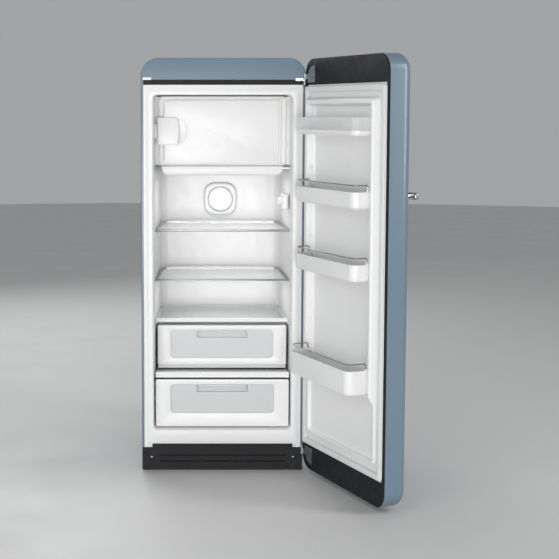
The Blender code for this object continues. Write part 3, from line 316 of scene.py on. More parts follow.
def tone(made, shader, texture, colour, spread):
    """Base colour that drifts a little, lighter and darker, with a texture."""
    mix = made.node_tree.nodes.new("ShaderNodeMix")
    mix.data_type = "RGBA"
    mix.inputs[6].default_value = (*[c * (1 - spread) for c in colour], 1)
    mix.inputs[7].default_value = (*[min(c * (1 + spread), 1) for c in colour], 1)
    link(made, texture, "Fac", mix, "Factor")
    link(made, mix, 2, shader, "Base Color")


def patchy(made, shader, texture, low, high, output="Fac", darkest=0.3, brightest=0.7):
    """Roughness that follows a texture between two values."""
    spread = node(made, "ShaderNodeMapRange", From_Min=darkest, From_Max=brightest, To_Min=low, To_Max=high)
    link(made, texture, output, spread, "Value")
    link(made, spread, "Result", shader, "Roughness")


def relief(made, shader, texture, distance, strength=0.5):
    bump = node(made, "ShaderNodeBump", Strength=strength, Distance=distance)
    link(made, texture, 0, bump, "Height")
    link(made, bump, "Normal", shader, "Normal")


def paint():
    colour = (0.128, 0.190, 0.242)
    made, shader = new_material("blue_paint", colour, 0.34, Coat_Weight=0.35, Coat_Roughness=0.14)
    tone(made, shader, noise(made, 3.0), colour, 0.05)
    patchy(made, shader, noise(made, 60.0), 0.30, 0.38)
    relief(made, shader, noise(made, 900.0, 1.0), 0.00004, 0.25)


def moulded(slot, colour, low, high, grain, depth, **constants):
    """Moulded plastic: slight drift of tone, patchy gloss and a fine grain."""
    made, shader = new_material(slot, colour, (low + high) / 2, **constants)
    tone(made, shader, noise(made, 5.0), colour, 0.03)
    patchy(made, shader, noise(made, 40.0), low, high)
    relief(made, shader, noise(made, grain, 2.0), depth)


def brushed(slot, colour, low, high, stretch, depth=0.00003):
    made, shader = new_material(slot, colour, (low + high) / 2, 1.0)
    lines = noise(made, 900.0, 4.0, stretch)
    tone(made, shader, lines, colour, 0.10)
    patchy(made, shader, lines, low, high)
    relief(made, shader, lines, depth, 0.4)


def zinc():
    """Galvanised sheet with its spangle."""
    colour = (0.50, 0.51, 0.52)
    made, shader = new_material("grey_steel", colour, 0.4, 0.95)
    tone(made, shader, noise(made, 70.0, 4.0), colour, 0.18)
    patchy(made, shader, cells(made, 110.0), 0.30, 0.50, "Color", 0.0, 1.0)


def chrome():
    made, shader = new_material("chrome", (0.34, 0.35, 0.36), 0.16, 1.0)
    patchy(made, shader, noise(made, 80.0, 5.0), 0.12, 0.20)


def clear(slot, colour, roughness, alpha, drift):
    """Clear glass or tinted plastic, thin enough to leave straight what is seen through it."""
    made, shader = new_material(slot, colour, roughness, Alpha=alpha, IOR=1.5)
    tone(made, shader, noise(made, 4.0), colour, drift)
    patchy(made, shader, noise(made, 9.0), roughness * 0.9, roughness * 1.1)


def foam():
    colour = (0.78, 0.68, 0.42)
    made, shader = new_material("foam", colour, 0.9)
    tone(made, shader, noise(made, 40.0), colour, 0.12)
    relief(made, shader, cells(made, 700.0), 0.0006)


paint()
moulded("white_plastic", (0.80, 0.80, 0.795), 0.28, 0.40, 1400.0, 0.00003)
moulded("black_plastic", (0.011, 0.011, 0.0125), 0.52, 0.66, 1100.0, 0.00008, Specular_IOR_Level=0.26)
foam()
zinc()
chrome()
clear("clear_glass", (0.92, 0.94, 0.935), 0.06, 0.30, 0.02)
clear("grey_clear", (0.66, 0.665, 0.67), 0.32, 0.88, 0.012)
moulded("gasket", (0.70, 0.71, 0.71), 0.55, 0.70, 900.0, 0.00005)
brushed("trim_grey", (0.42, 0.43, 0.44), 0.28, 0.40, (0.03, 1, 1))
moulded("black_metal", (0.018, 0.018, 0.019), 0.35, 0.50, 700.0, 0.00010)
moulded("rubber", (0.028, 0.028, 0.028), 0.75, 0.90, 900.0, 0.00012)
brushed("aluminium", (0.60, 0.61, 0.62), 0.46, 0.60, (1, 0.03, 1))


# Pieces


def round_edges(item, width, segments, angle):
    modifier = item.modifiers.new("Rounded edges", "BEVEL")
    modifier.width = width
    modifier.segments = segments
    modifier.limit_method = "ANGLE"
    modifier.angle_limit = math.radians(angle)
    return modifier


def add(name, bm, stands_for=None, body="cabinet", slot=None, bevel=0.0, segments=2, smooth=35, place=None):
    """Puts a mesh in place as a piece, with the body and finish of the CAD node that it stands for."""
    body = BODY_OF[stands_for] if stands_for else body
    slot = slot or (SLOT_OF[stands_for] if stands_for else "white_plastic")
    made = solid(name, bm)
    mesh = made.data
    mesh.transform(place_of(body) if place is None else place)
    mesh.materials.append(MATERIALS[slot])
    mesh.shade_smooth()
    mesh.set_sharp_from_angle(angle=math.radians(smooth))
    if bevel:
        round_edges(made, bevel, segments, smooth).harden_normals = True
    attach(made, body)
    if stands_for:
        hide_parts(stands_for)


def softened(name, width, segments=2):
    """A CAD node's own shape with its edges rounded."""
    bm = bmesh.new()
    bm.from_mesh(frame["nodes"][name].data)
    bmesh.ops.remove_doubles(bm, verts=bm.verts, dist=1e-6)
    bmesh.ops.dissolve_limit(bm, angle_limit=math.radians(0.5), verts=bm.verts, edges=bm.edges)
    add(f"{name}_soft", bm, name, bevel=width, segments=segments, smooth=40, place=Matrix.Identity(4))


# Cabinet


def arch(inset, low):
    foot = 0.0015
    return rounded(-HALF + inset, HALF - inset, low, HEIGHT - inset,
                   (foot, foot, SHOULDER - inset, SHOULDER - inset), CORNER_STEPS)


def wrap(inset, low, back):
    """The painted wrap's surface, drawn in by an inset, from its rounded front edge to the back."""
    radius = EDGE_ROUND - inset
    loops = [along_y(arch(inset + radius * fall, low), inset + radius * rise) for rise, fall in quarter(6)]
    return loft(loops + [along_y(arch(inset, low), back)])


def make_shell():
    foot = shell_low.z
    window = block(liner_low.x - GAP, liner_high.x + GAP, -0.01, 2 * EDGE_ROUND, -0.02, FASCIA_LOW)
    shell = carved(wrap(0, foot, DEPTH), wrap(SHEET, foot - 0.02, DEPTH + 0.02), window)
    add("shell_wrap", shell, "cabinet_shell")
    softened("front_strip", 0.0006)


def cavity_half(y):
    return OPENING - DRAFT * y / CAVITY_DEPTH


def cavity_outline(y, grow, floor, corner):
    half = cavity_half(min(y, CAVITY_DEPTH)) + grow
    return rounded(-half, half, floor - grow, CEILING + grow, corner + grow, 10)


def make_liner():
    """Vacuum-formed liner: flange with a shallow step, rounded mouth, floor hump, and round back corners."""
    mouth_round, back_round, wall, step_in, step_deep = 0.005, 0.030, 0.002, 0.013, 0.0007
    corner, hump_front, hump_back, hump_top = 0.016, 0.335, 0.362, 0.340

    def flange(inset, y):
        return face(liner_low, liner_high, inset, y, 0.002 + inset * 0.6, 10)

    loops = [along_y(cavity_outline(CAVITY_DEPTH, wall, hump_top, back_round), CAVITY_DEPTH + wall),
             along_y(cavity_outline(hump_back - wall, wall, hump_top, corner), hump_back - wall),
             along_y(cavity_outline(hump_front - wall, wall, SILL, corner), hump_front - wall),
             along_y(cavity_outline(wall, wall, SILL, corner), wall),
             flange(0, wall), flange(0, step_deep + 0.0004), flange(0.0004, step_deep),
             flange(step_in - 0.001, step_deep), flange(step_in, 0)]
    for rise, fall in quarter(5):
        loops.append(along_y(cavity_outline(0, mouth_round * fall, SILL, corner), mouth_round * rise))
    for y, floor in ((hump_front - 0.02, SILL), (hump_front, SILL + 0.004),
                     (hump_back - 0.002, hump_top - 0.016), (hump_back + 0.012, hump_top),
                     (CAVITY_DEPTH - back_round, hump_top)):
        loops.append(along_y(cavity_outline(y, 0, floor, corner), y))
    for rise, fall in quarter(6, 1):
        y, inset = CAVITY_DEPTH - back_round * fall, back_round * rise
        half = cavity_half(y) - inset
        loops.append(along_y(rounded(-half, half, hump_top + inset, CEILING - inset, corner, 10), y))
    _, y, z = centre_of(*box_in("light_switch"))
    hole = prism(circle(y, z, 0.0046), along_x, OPENING - 0.012, OPENING + 0.012)
    add("liner_moulding", carved(loft(loops), hole), "cabinet_liner", smooth=40)
    make_ledges()


def make_ledges():
    """Ribs on the side walls that the shelves and the drawer cover slide on."""
    thickness, reach, start, end = 0.006, 0.0075, 0.110, 0.455
    ribs = []
    for name in ("upper_shelf_frame", "lower_shelf_frame", "drawer_cover_trim"):
        top = box_in(name)[0].z - GAP
        for side in (-1, 1):
            ends = []
            for y, size in ((start - 0.004, 0.5), (start, 1), (end, 1), (end + 0.004, 0.5)):
                wall = cavity_half(y)
                profile = rounded(*sorted((side * (wall - reach * size), side * (wall + 0.001))),
                                  top - thickness, top, 0.0018, 4)
                ends.append(along_y(profile, y))
            ribs.append(loft(ends))
    add("shelf_ledges", together(*ribs))


def cross_screw(x, z, seat, radius, reach):
    """A pan-head screw facing -Y with a cross recess."""
    rounds = ((0.45, 0), (1, 0.0001), (1, 0.0005), (0.9, 0.0011), (0.55, 0.0015), (0.1, 0.0016))
    profile = [(radius * 0.45, seat + reach)] + [(radius * share, seat - proud) for share, proud in rounds]
    head = turned(along_y, x, z, profile, 24)
    slots = [block(x - radius * wide, x + radius * wide, seat - 0.003, seat - 0.0007, z - radius * tall,
                   z + radius * tall) for wide, tall in ((0.55, 0.16), (0.16, 0.55))]
    return carved(head, *slots)


def make_kick_plate():
    softened("kick_plate", 0.0007)
    plate_low, plate_high = box_in("kick_plate")
    length, pitch, blade, half = 0.1516, 0.1605, 0.0008, 0.0028
    back, front = plate_high.y - 0.0001, plate_low.y + 0.0004
    # Black slanted slats behind the vent slots are painted shade: a dark sheet where the machine bay lies in
    # shade, so each slot reads as a dark line.
    shade_blades = []
    for level in (0.056, 0.0335):
        shade_slat = [(back, level - half), (back - blade, level - half), (front, level + half),
                (front + blade, level + half)]
        for centre in (-pitch, 0, pitch):
            shade_blades.append(loft([along_x(shade_slat, centre - length / 2), along_x(shade_slat, centre + length / 2)]))
    add("kick_plate_shade_slats", together(*shade_blades), slot="black_plastic")
    for name in ("kick_screw_left", "kick_screw_right"):
        low, high = box_in(name)
        x, _, z = centre_of(low, high)
        add(f"{name}_head", cross_screw(x, z, plate_low.y - GAP, (high.z - low.z) / 2, 0.008), name)


def make_cabinet_hinges():
    softened("hinge_bracket_top", 0.0003)
    softened("hinge_bracket_bottom", 0.0003)
    x0 = -HALF + 0.0075
    blank = block(x0, x0 + 0.031, -0.0022, -GAP, FASCIA_LOW - 0.001, FASCIA_LOW + 0.0085, 0.0008)
    add("blanking_plate", blank)


def make_rear_panel():
    """Zinc sheet with a hemmed edge and pressed upright beads."""
    low, high = box_in("rear_panel")
    radius = SHOULDER - SHEET - GAP
    bead_half, count, foot, brow = 0.011, 7, 0.045, 0.065

    def outline(inset, proud):
        radii = (0.002, 0.002, radius - inset, radius - inset)
        return face(low, high, inset, high.y + proud, radii, CORNER_STEPS)

    panel = loft([outline(0, low.y - high.y), outline(0, 0), outline(0.0005, 0.0006), outline(0.010, 0.0006),
                  outline(0.0105, 0)])
    beads = []
    for number in range(count):
        x = (number - (count - 1) / 2) * (high.x - low.x) / count
        loops = []
        for proud, share in ((-0.0005, 1.0), (0.0004, 0.85), (0.0018, 0.55), (0.0025, 0.25)):
            half = bead_half * share
            in_by = bead_half - half
            loops.append(along_y(rounded(x - half, x + half, low.z + foot + in_by, high.z - brow - in_by,
                                         half * 0.98, 6), high.y + proud))
        beads.append(loft(loops))
    add("rear_sheet", carved(panel, *beads, operation="UNION"), "rear_panel")


def make_base():
    softened("base_frame", 0.0005)
    softened("evaporation_tray", 0.0008)
    softened("roller_axle", 0.0006)
    for side in ("left", "right"):
        low, high = box_in(f"roller_{side}")
        radius, (_, cy, cz) = (high.z - low.z) / 2, centre_of(low, high)
        bore, half_width = 0.0046, (high.x - low.x) / 2
        half = [(bore, 0), (0.008, 0), (0.0085, 0.0015), (0.0125, 0.0015), (0.013, 0), (radius - 0.0015, 0),
                (radius, 0.0015), (radius, half_width - 0.002), (radius - 0.001, half_width - 0.001)]
        loops = [(r, low.x + h) for r, h in half] + [(r, high.x - h) for r, h in reversed(half)]
        wheel = loft([along_x(circle(cy, cz, r, 40), x) for r, x in loops], ring=True)
        add(f"roller_{side}_wheel", wheel, f"roller_{side}")
        low, high = box_in(f"foot_{side}")
        radius, (cx, cy, _) = (high.x - low.x) / 2, centre_of(low, high)
        stem = 0.0049
        profile = [(radius - 0.0015, 0), (radius, 0.0015), (radius, 0.0040), (radius * 0.93, 0.0048),
                   (radius * 0.93, 0.0075), (radius * 0.80, 0.0095), (stem, 0.0100), (stem, high.z - 0.001),
                   (stem - 0.001, high.z)]
        add(f"foot_{side}_pad", turned(along_z, cx, cy, profile, 40), f"foot_{side}")


def make_machinery():
    low, high = box_in("compressor")
    cx, cy, _ = centre_of(low, high)
    base, top = low.z + 0.010, high.z
    tall = top - base
    profile = [(0.050, base), (0.060, base + 0.010), (0.067, base + 0.024), (0.069, base + 0.045)]
    dome = ((0.069, 0.52), (0.070, 0.53), (0.070, 0.56), (0.068, 0.57), (0.067, 0.70), (0.060, 0.84),
            (0.047, 0.94))
    profile += [(radius, base + tall * share) for radius, share in dome]
    pot = turned(along_z, cx, cy, profile + [(0.025, top - 0.001), (0.004, top)], 48)
    plate = block(cx - 0.069, cx + 0.069, cy - 0.054, cy + 0.054, low.z + 0.006, low.z + 0.009, 0.001)
    rubber = [(r, low.z + rise) for r, rise in ((0.008, 0), (0.009, 0.002), (0.007, 0.005), (0.009, 0.008),
                                                (0.008, 0.012))]
    feet = [turned(along_z, cx + sx * 0.058, cy + sy * 0.044, rubber, 20) for sx in (-1, 1) for sy in (-1, 1)]
    cover = block(cx - 0.066, cx - 0.045, cy - 0.030, cy + 0.030, base + 0.030, base + 0.085, 0.004)
    pipes = []
    for dx, dy, rise in ((0.046, 0.040, 0.10), (0.052, 0.026, 0.085), (-0.020, 0.058, 0.11)):
        path = [(cx + dx * out, cy + dy * out, base + rise * up)
                for out, up in ((0.80, 0.6), (1.12, 0.6), (1.12, 1.2))]
        pipes.append(tube(bent(path, 0.006), 0.0035))
    add("compressor_pot", together(pot, plate, *feet, cover, *pipes), "compressor")
    make_power_inlet()
    make_condenser()


def make_power_inlet():
    """A chassis inlet with three flat pins in its hollow, which opens to the back."""
    low, high = box_in("power_inlet")
    cx, cz = (low.x + high.x) / 2, low.z + 0.0275
    wide, tall, bottom = 0.017, 0.0135, high.y - 0.022
    body = block(low.x, high.x, low.y, high.y, low.z, high.z, 0.003)
    hollow = prism(rounded(cx - wide, cx + wide, cz - tall, cz + tall, (0.002, 0.002, 0.007, 0.007)), along_y,
                   bottom, high.y + 0.01)
    add("power_inlet_body", carved(body, hollow), "power_inlet")
    pins = [block(x - 0.001, x + 0.001, bottom - 0.002, high.y - 0.006, z - 0.002, z + 0.002, 0.0005)
            for x, z in ((cx - 0.007, cz + 0.002), (cx + 0.007, cz + 0.002), (cx, cz - 0.003))]
    add("power_inlet_pins", together(*pins), slot="chrome")


def make_condenser():
    """Serpentine tube with upright cross wires on both sides of it, held off the panel by clips."""
    low, high = box_in("condenser")
    radius, runs, wires = 0.0025, 10, 17
    y, z0, z1 = (low.y + high.y) / 2, low.z + radius, high.z - radius
    pitch = (z1 - z0) / (runs - 1)
    reach = high.x - radius - pitch / 2
    path = []
    for run in range(runs):
        side = 1 if run % 2 == 0 else -1
        z = z0 + run * pitch
        path += [Vector((-side * reach, y, z)), Vector((side * reach, y, z))]
        for step in range(1, 12 if run < runs - 1 else 1):
            angle = math.radians(-90 + 15 * step)
            path.append(Vector((side * (reach + pitch / 2 * math.cos(angle)), y,
                                z + pitch / 2 * (1 + math.sin(angle)))))
    thin = 0.0008
    touching = radius + thin - 0.0002
    grid = []
    for number in range(wires):
        x = reach * (2 * number / (wires - 1) - 1) * 0.97
        wire_y = y - touching if number % 2 else min(y + touching * 0.85, high.y - thin)
        grid.append(tube([Vector((x, wire_y, z0 - 0.006)), Vector((x, wire_y, z1 + 0.006))], thin, 8))
    panel = box_in("rear_panel")[1].y
    clips = [block(x - 0.006, x + 0.006, panel, y + radius * 0.5, z - 0.004, z + 0.004, 0.0012)
             for x in (-reach * 0.9, reach * 0.9) for z in (z0 + pitch, z0 + 5 * pitch, z1)]
    add("condenser_coil", together(tube(path, radius, 12), *grid), "condenser")
    add("condenser_clips", together(*clips), slot="black_plastic")


# Shelves and drawers


def plan(y0, y1, gap, corner, steps=8):
    """A plan outline that keeps one gap to both side walls, with round back corners."""
    front, back = cavity_half(y0) - gap, cavity_half(y1) - gap
    small = 0.003
    points = []
    for cx, cy, radius, start, count in ((small - front, y0 + small, small, 180, 2),
                                         (front - small, y0 + small, small, 270, 2),
                                         (back - corner, y1 - corner, corner, 0, steps),
                                         (corner - back, y1 - corner, corner, 90, steps)):
        for step in range(count + 1):
            angle = math.radians(start + 90 * step / count)
            points.append((cx + radius * math.cos(angle), cy + radius * math.sin(angle)))
    return points


def make_shelf(name):
    """A pane in a slim satin frame whose front bar is a rounded strip, with a white strip along its back."""
    low, high = box_in(f"{name}_shelf_frame")
    gap, rim, corner = 0.0045, 0.009, 0.020

    def ring(inset, z, round_by):
        return along_z(plan(low.y + inset, high.y - inset, gap + inset, round_by), z)

    bottom, top, soft = low.z + 0.0006, low.z + 0.0080, 0.0012
    loops = [ring(soft, bottom, corner - soft), ring(0, bottom + soft, corner), ring(0, top - soft, corner),
             ring(soft, top, corner - soft), ring(rim, top, 0.012), ring(rim, bottom, 0.012)]
    add(f"{name}_shelf_rim", loft(loops, ring=True), f"{name}_shelf_frame", smooth=50)
    pane_low, pane_high = box_in(f"{name}_shelf_glass")
    z0, z1, edge, soft = pane_low.z, pane_high.z, rim + GAP, 0.0004
    pane = loft([ring(edge + soft, z0, 0.0113), ring(edge, z0 + soft, 0.0117), ring(edge, z1 - soft, 0.0117),
                 ring(edge + soft, z1, 0.0113)])
    add(f"{name}_shelf_pane", pane, f"{name}_shelf_glass")
    half = cavity_half(high.y) - gap - 0.020
    strip = block(-half, half, high.y - rim - 0.004, high.y - 0.0008, top + 0.0001, top + 0.0065, 0.0015)
    add(f"{name}_shelf_back_strip", strip, body=f"shelf_{name}")


def make_drawer_cover():
    low, high = box_in("drawer_cover_trim")
    rounds = ((0.003, 0), (0.0008, 0.001), (0, 0.0035), (0, 0.008), (0.001, 0.012))
    nose = [(high.y, low.z)] + [(low.y + back, low.z + rise) for back, rise in rounds]
    nose += [(low.y + 0.0045, high.z), (high.y, high.z)]
    trim = prism(nose, along_x, low.x, high.x)
    add("drawer_cover_nose", trim, "drawer_cover_trim", bevel=0.0008, smooth=50)
    softened("drawer_cover_glass", 0.0004)
    softened("drawer_divider", 0.0022, segments=3)


def make_drawer(name):
    """White front with a rounded window and a lipped foot, before a grey clear tub with its grip pocket."""
    low, high = box_in(f"{name}_drawer_front")
    window_half, corner = 0.194, 0.014
    window_high = high.z - 0.019
    window_low = window_high - (0.1065 if name == "upper" else 0.109)

    def panel(inset, back):
        return face(low, high, inset, low.y + back, max(0.006 - inset, 0.003), 8)

    def window(grow, back):
        return along_y(rounded(-window_half - grow, window_half + grow, window_low - grow, window_high + grow,
                               corner + grow, 8), low.y + back)

    depth = high.y - low.y
    front = [panel(0, depth), panel(0, 0.0030), panel(0.0009, 0.0009), panel(0.0030, 0), window(0.0022, 0),
             window(0.0006, 0.0006), window(0, 0.0022), window(0, depth)]
    groove_z = low.z + 0.0085
    groove = block(low.x + 0.014, high.x - 0.014, low.y - 0.001, low.y + 0.0011, groove_z - 0.0007,
                   groove_z + 0.0007)
    add(f"{name}_drawer_panel", carved(loft(front, ring=True), groove), f"{name}_drawer_front")
    round_edges(frame["nodes"][f"{name}_drawer_tub"], 0.0007, 2, 40)
    half, flare, y = 0.0935, 0.004, high.y - 0.0012
    lip_high, foot = window_high - 0.0052, window_high - 0.02392
    side = [(-half - flare, y, foot), (-half, y, foot + 0.0035), (-half + 0.0015, y, lip_high)]
    path = bent(side + [(-x, y, z) for x, y, z in reversed(side)], 0.006)
    add(f"{name}_drawer_grip_lip", tube(path, 0.0011, 10), body=f"drawer_{name}", slot="trim_grey")


# Ice box


def make_ice_box():
    low, high = box_in("ice_box_frame")
    half = cavity_half(0.100) - 0.0125
    y0, z0, z1 = 0.113, low.z, high.z

    def outer(inset, y):
        corner = 0.018 - inset * 0.5
        return along_y(rounded(-half + inset, half - inset, z0 + inset, z1 - inset, corner, 8), y)

    def inner(grow, y):
        return along_y(rounded(-half + 0.024 - grow, half - 0.032 + grow, z0 + 0.018 - grow,
                               z1 - 0.022 + grow, 0.012 + grow, 8), y)

    loops = [outer(0, high.y), outer(0, y0 + 0.005), outer(0.0015, y0 + 0.0015), outer(0.005, y0),
             inner(0.003, y0), inner(0.001, y0 + 0.001), inner(0, y0 + 0.003), inner(0, high.y)]
    flap_low, flap_high = box_in("ice_flap")
    joint = next(j for j in frame["joints"] if j["name"] == "ice_flap_hinge")
    axis = CABINET.inverted() @ Vector(joint["pos_m"])
    lugs = []
    for a, b in ((flap_low.z + GAP, flap_low.z + 0.0060), (flap_high.z - 0.0060, flap_high.z - GAP)):
        lug = block(axis.x - 0.0062, axis.x + 0.0062, 0.0997, y0 + 0.002, a, b, 0.0012)
        hole = prism(circle(axis.x, axis.y, 0.0026, 20), along_z, a - 0.01, b + 0.01)
        lugs.append(carved(lug, hole))
    add("ice_box_surround", together(loft(loops, ring=True), *lugs), "ice_box_frame", smooth=45)

    tray_low, tray_high = box_in("ice_box_tray")

    def tray(inset, y):
        return along_y(rounded(tray_low.x + inset, tray_high.x - inset, tray_low.z + inset,
                               tray_high.z - inset * 0.3, (0.026 - inset, 0.026 - inset, 0.002, 0.002), 8), y)

    y = tray_low.y
    loops = [tray(0.007, y), tray(0.0045, y + 0.0008), tray(0.0015, y + 0.004), tray(0, y + 0.010),
             tray(0, tray_high.y)]
    add("ice_box_drip_tray", loft(loops), "ice_box_tray", smooth=45)
    softened("ice_box_shell", 0.0008)
    wall = -cavity_half(0.10)
    keeper = block(wall - 0.0005, wall + 0.0095, 0.0960, 0.1120, 1.238, 1.290, 0.0020)
    wall = cavity_half(0.108)
    rest = block(tray_high.x - 0.004, wall - 0.0002, 0.1010, 0.1160, 1.1215, 1.1290, 0.0014)
    add("ice_box_keeper", keeper)
    add("ice_box_rest", rest)
    make_collars(z0, z1, half, y0)
    make_flap(axis)


def make_collars(z0, z1, half, y0):
    """Strips that close the gap between the ice box's frame and the side walls."""
    strips = []
    for side in (-1, 1):
        inner, outer = half - 0.010, cavity_half(y0 + 0.008) + 0.0005
        x0, x1 = sorted((side * inner, side * outer))
        strips.append(block(x0, x1, y0 + 0.0075, y0 + 0.0135, z0 + 0.004, z1 - 0.002, 0.0012))
    add("ice_box_collars", together(*strips))


def make_flap(axis):
    """Flap with soft edges, a hinge barrel and a shallow scoop beside its grip."""
    low, high = box_in("ice_flap")
    latch_low, latch_high = box_in("ice_flap_latch")
    y0, y1 = 0.100, 0.1115
    z0, z1 = low.z + 0.0065, high.z - 0.0065
    right = axis.x - 0.0038

    def outline(inset, y):
        return along_y(rounded(low.x + inset, right - inset * 0.4, z0 + inset, z1 - inset, 0.006, 6), y)

    panel = loft([outline(0, y1), outline(0, y0 + 0.0030), outline(0.0009, y0 + 0.0009), outline(0.0030, y0)])
    edge = latch_high.x
    centre = (latch_low.z + latch_high.z) / 2
    scoop = bmesh.new()
    bmesh.ops.create_uvsphere(scoop, u_segments=48, v_segments=32, radius=1)
    bmesh.ops.scale(scoop, verts=scoop.verts, vec=(0.036, 0.0060, 0.050))
    bmesh.ops.translate(scoop, verts=scoop.verts, vec=(edge - 0.004, y0 - 0.0010, centre))
    barrel = turned(along_z, axis.x, axis.y, [(0.0036, z0 + 0.0005), (0.0040, z0 + 0.0009),
                                              (0.0040, z1 - 0.0009), (0.0036, z1 - 0.0005)], 24)
    pin = turned(along_z, axis.x, axis.y, [(0.0019, low.z), (0.0019, high.z)], 16)
    add("ice_flap_panel", together(carved(panel, scoop), barrel, pin), "ice_flap", smooth=30)

    bulge, front, back = 0.009, latch_low.y, y0 - GAP
    x0, x1, a, b = latch_low.x, latch_high.x, latch_low.z, latch_high.z

    def grip(inset, y):
        points = rounded(x0 + inset, x1 - bulge, a + inset, b - inset, 0.0015, 3)
        bottom, top = points[:4], points[12:]
        steps = [step / 12 for step in range(13)]
        side = [(x1 - inset - bulge * (2 * t - 1) ** 2, a + inset + (b - a - 2 * inset) * t) for t in steps]
        return along_y(bottom + side + top, y)

    shape = loft([grip(0, back), grip(0, front + 0.0020), grip(0.0006, front + 0.0006), grip(0.0020, front)])
    add("ice_flap_grip", shape, "ice_flap_latch", smooth=40)


# Fan and controls


def make_fan():
    low, high = box_in("fan_housing")
    cx, _, cz = centre_of(low, high)
    half, radius = (high.x - low.x) / 2, 0.0506
    y0, y1 = low.y, high.y
    square = [(1, y1), (0.995, y0 + 0.012), (0.965, y0 + 0.005), (0.925, y0 + 0.0015), (0.88, y0 + 0.0004)]
    rim = [(0.0016, y0), (0.0003, y0 + 0.0008), (0, y0 + 0.002), (0, y1)]
    loops = [along_y(squircle(cx, cz, half * share), y) for share, y in square]
    loops += [along_y(circle(cx, cz, radius + grow, 64), y) for grow, y in rim]
    add("fan_surround", loft(loops, ring=True), "fan_housing", smooth=45)
    disc = radius - 0.0022
    cover = turned(along_y, cx, cz, [(disc - 0.001, y0 + 0.0042), (disc, y0 + 0.0030), (disc, y0 + 0.0012),
                                     (disc - 0.0012, y0 + 0.0003), (disc * 0.85, y0 - 0.0002),
                                     (disc * 0.5, y0 - 0.0008), (disc * 0.1, y0 - 0.0010)], 64)
    arms = []
    for number in range(3):
        arm = block(-0.003, 0.003, y0 + 0.0035, y0 + 0.0060, 0.010, radius - 0.0004, 0.0006)
        turn = Matrix.Translation((cx, 0, cz)) @ Matrix.Rotation(math.radians(120 * number), 4, "Y")
        bmesh.ops.transform(arm, matrix=turn, verts=arm.verts)
        arms.append(arm)
    add("fan_disc", together(cover, *arms), "fan_cover")
    softened("fan_motor", 0.0008)
    softened("fan_rotor", 0.0003)


def make_controls():
    low, high = box_in("thermostat_housing")
    housing = block(low.x, high.x, low.y, high.y, low.z, high.z, 0.0085, 5)
    add("thermostat_case", housing, "thermostat_housing")
    low, high = box_in("lamp_cover")
    lens = block(low.x, high.x, low.y, high.y, low.z, high.z, 0.007, 4)
    ribs = [block(low.x - 0.002, low.x + 0.0008, y - 0.0008, y + 0.0008, low.z + 0.010, high.z - 0.010)
            for y in [low.y + 0.012 + 0.0065 * n for n in range(8)]]
    add("lamp_lens", carved(lens, *ribs), "lamp_cover")
    low, high = box_in("thermostat_knob")
    _, cy, cz = centre_of(low, high)
    radius, front = 0.0165, low.x + 0.004
    knob = turned(along_x, cy, cz, [(radius, high.x), (radius, high.x - 0.003),
                                    (radius - 0.0012, high.x - 0.0042), (radius - 0.0022, front + 0.001),
                                    (radius - 0.0032, front), (0.001, front)], 48)
    grip = block(low.x, front + 0.001, cy - 0.0025, cy + 0.0025, cz - 0.0135, cz + 0.0135, 0.0012)
    flutes = []
    for number in range(24):
        angle = 2 * math.pi * number / 24
        outline = circle(cy + radius * math.cos(angle), cz + radius * math.sin(angle), 0.0009, 8)
        flutes.append(prism(outline, along_x, high.x - 0.012, high.x - 0.0035))
    add("thermostat_dial", together(carved(knob, *flutes), grip), "thermostat_knob")
    low, high = box_in("light_switch")
    radius, (_, cy, cz) = (high.z - low.z) / 2, centre_of(low, high)
    plunger = turned(along_x, cy, cz, [(radius, high.x), (radius, low.x + 0.003),
                                       (radius * 0.9, low.x + 0.0014), (radius * 0.6, low.x + 0.0004),
                                       (0.0004, low.x)], 24)
    add("light_switch_plunger", plunger, "light_switch")


# Door

DOOR_DEPTH, DOOR_CROWN, DOOR_ROUND = 0.098, 0.010, 0.036
FRAME_THICKNESS = 0.004
SIDE_END = REAR - (DOOR_DEPTH - DOOR_CROWN - DOOR_ROUND)
plate_low, plate_high = box_in("door_liner")
PLATE_LOW, PLATE_HIGH = plate_low.z - GAP, plate_high.z + GAP


def door_outline(inset):
    radius = max(SHOULDER - inset, 0.004)
    return rounded(-HALF + inset, HALF - inset, door_low.z + inset, door_high.z - inset, radius, CORNER_STEPS)


def door_loops(inset, rear):
    """The door's outer surface drawn in by an inset, from a rear plane to the middle of its crowned front."""
    radius = DOOR_ROUND - inset
    loops = [along_y(door_outline(inset), rear), along_y(door_outline(inset), SIDE_END)]
    for rise, fall in quarter(12, 1):
        loops.append(along_y(door_outline(inset + radius * rise), SIDE_END - radius * (1 - fall)))
    middle = HALF - 0.016
    for share in (0.03, 0.07, 0.12, 0.2, 0.3, 0.42, 0.56, 0.72, 0.86, 1.0):
        loops.append(along_y(door_outline(DOOR_ROUND + share * (middle - DOOR_ROUND)),
                             SIDE_END - radius - DOOR_CROWN * (1 - (1 - share) ** 2)))
    return loops


def make_door_shell():
    add("door_skin", loft(list(reversed(door_loops(SHEET, REAR))) + door_loops(0, REAR)), "door_shell",
        smooth=40)


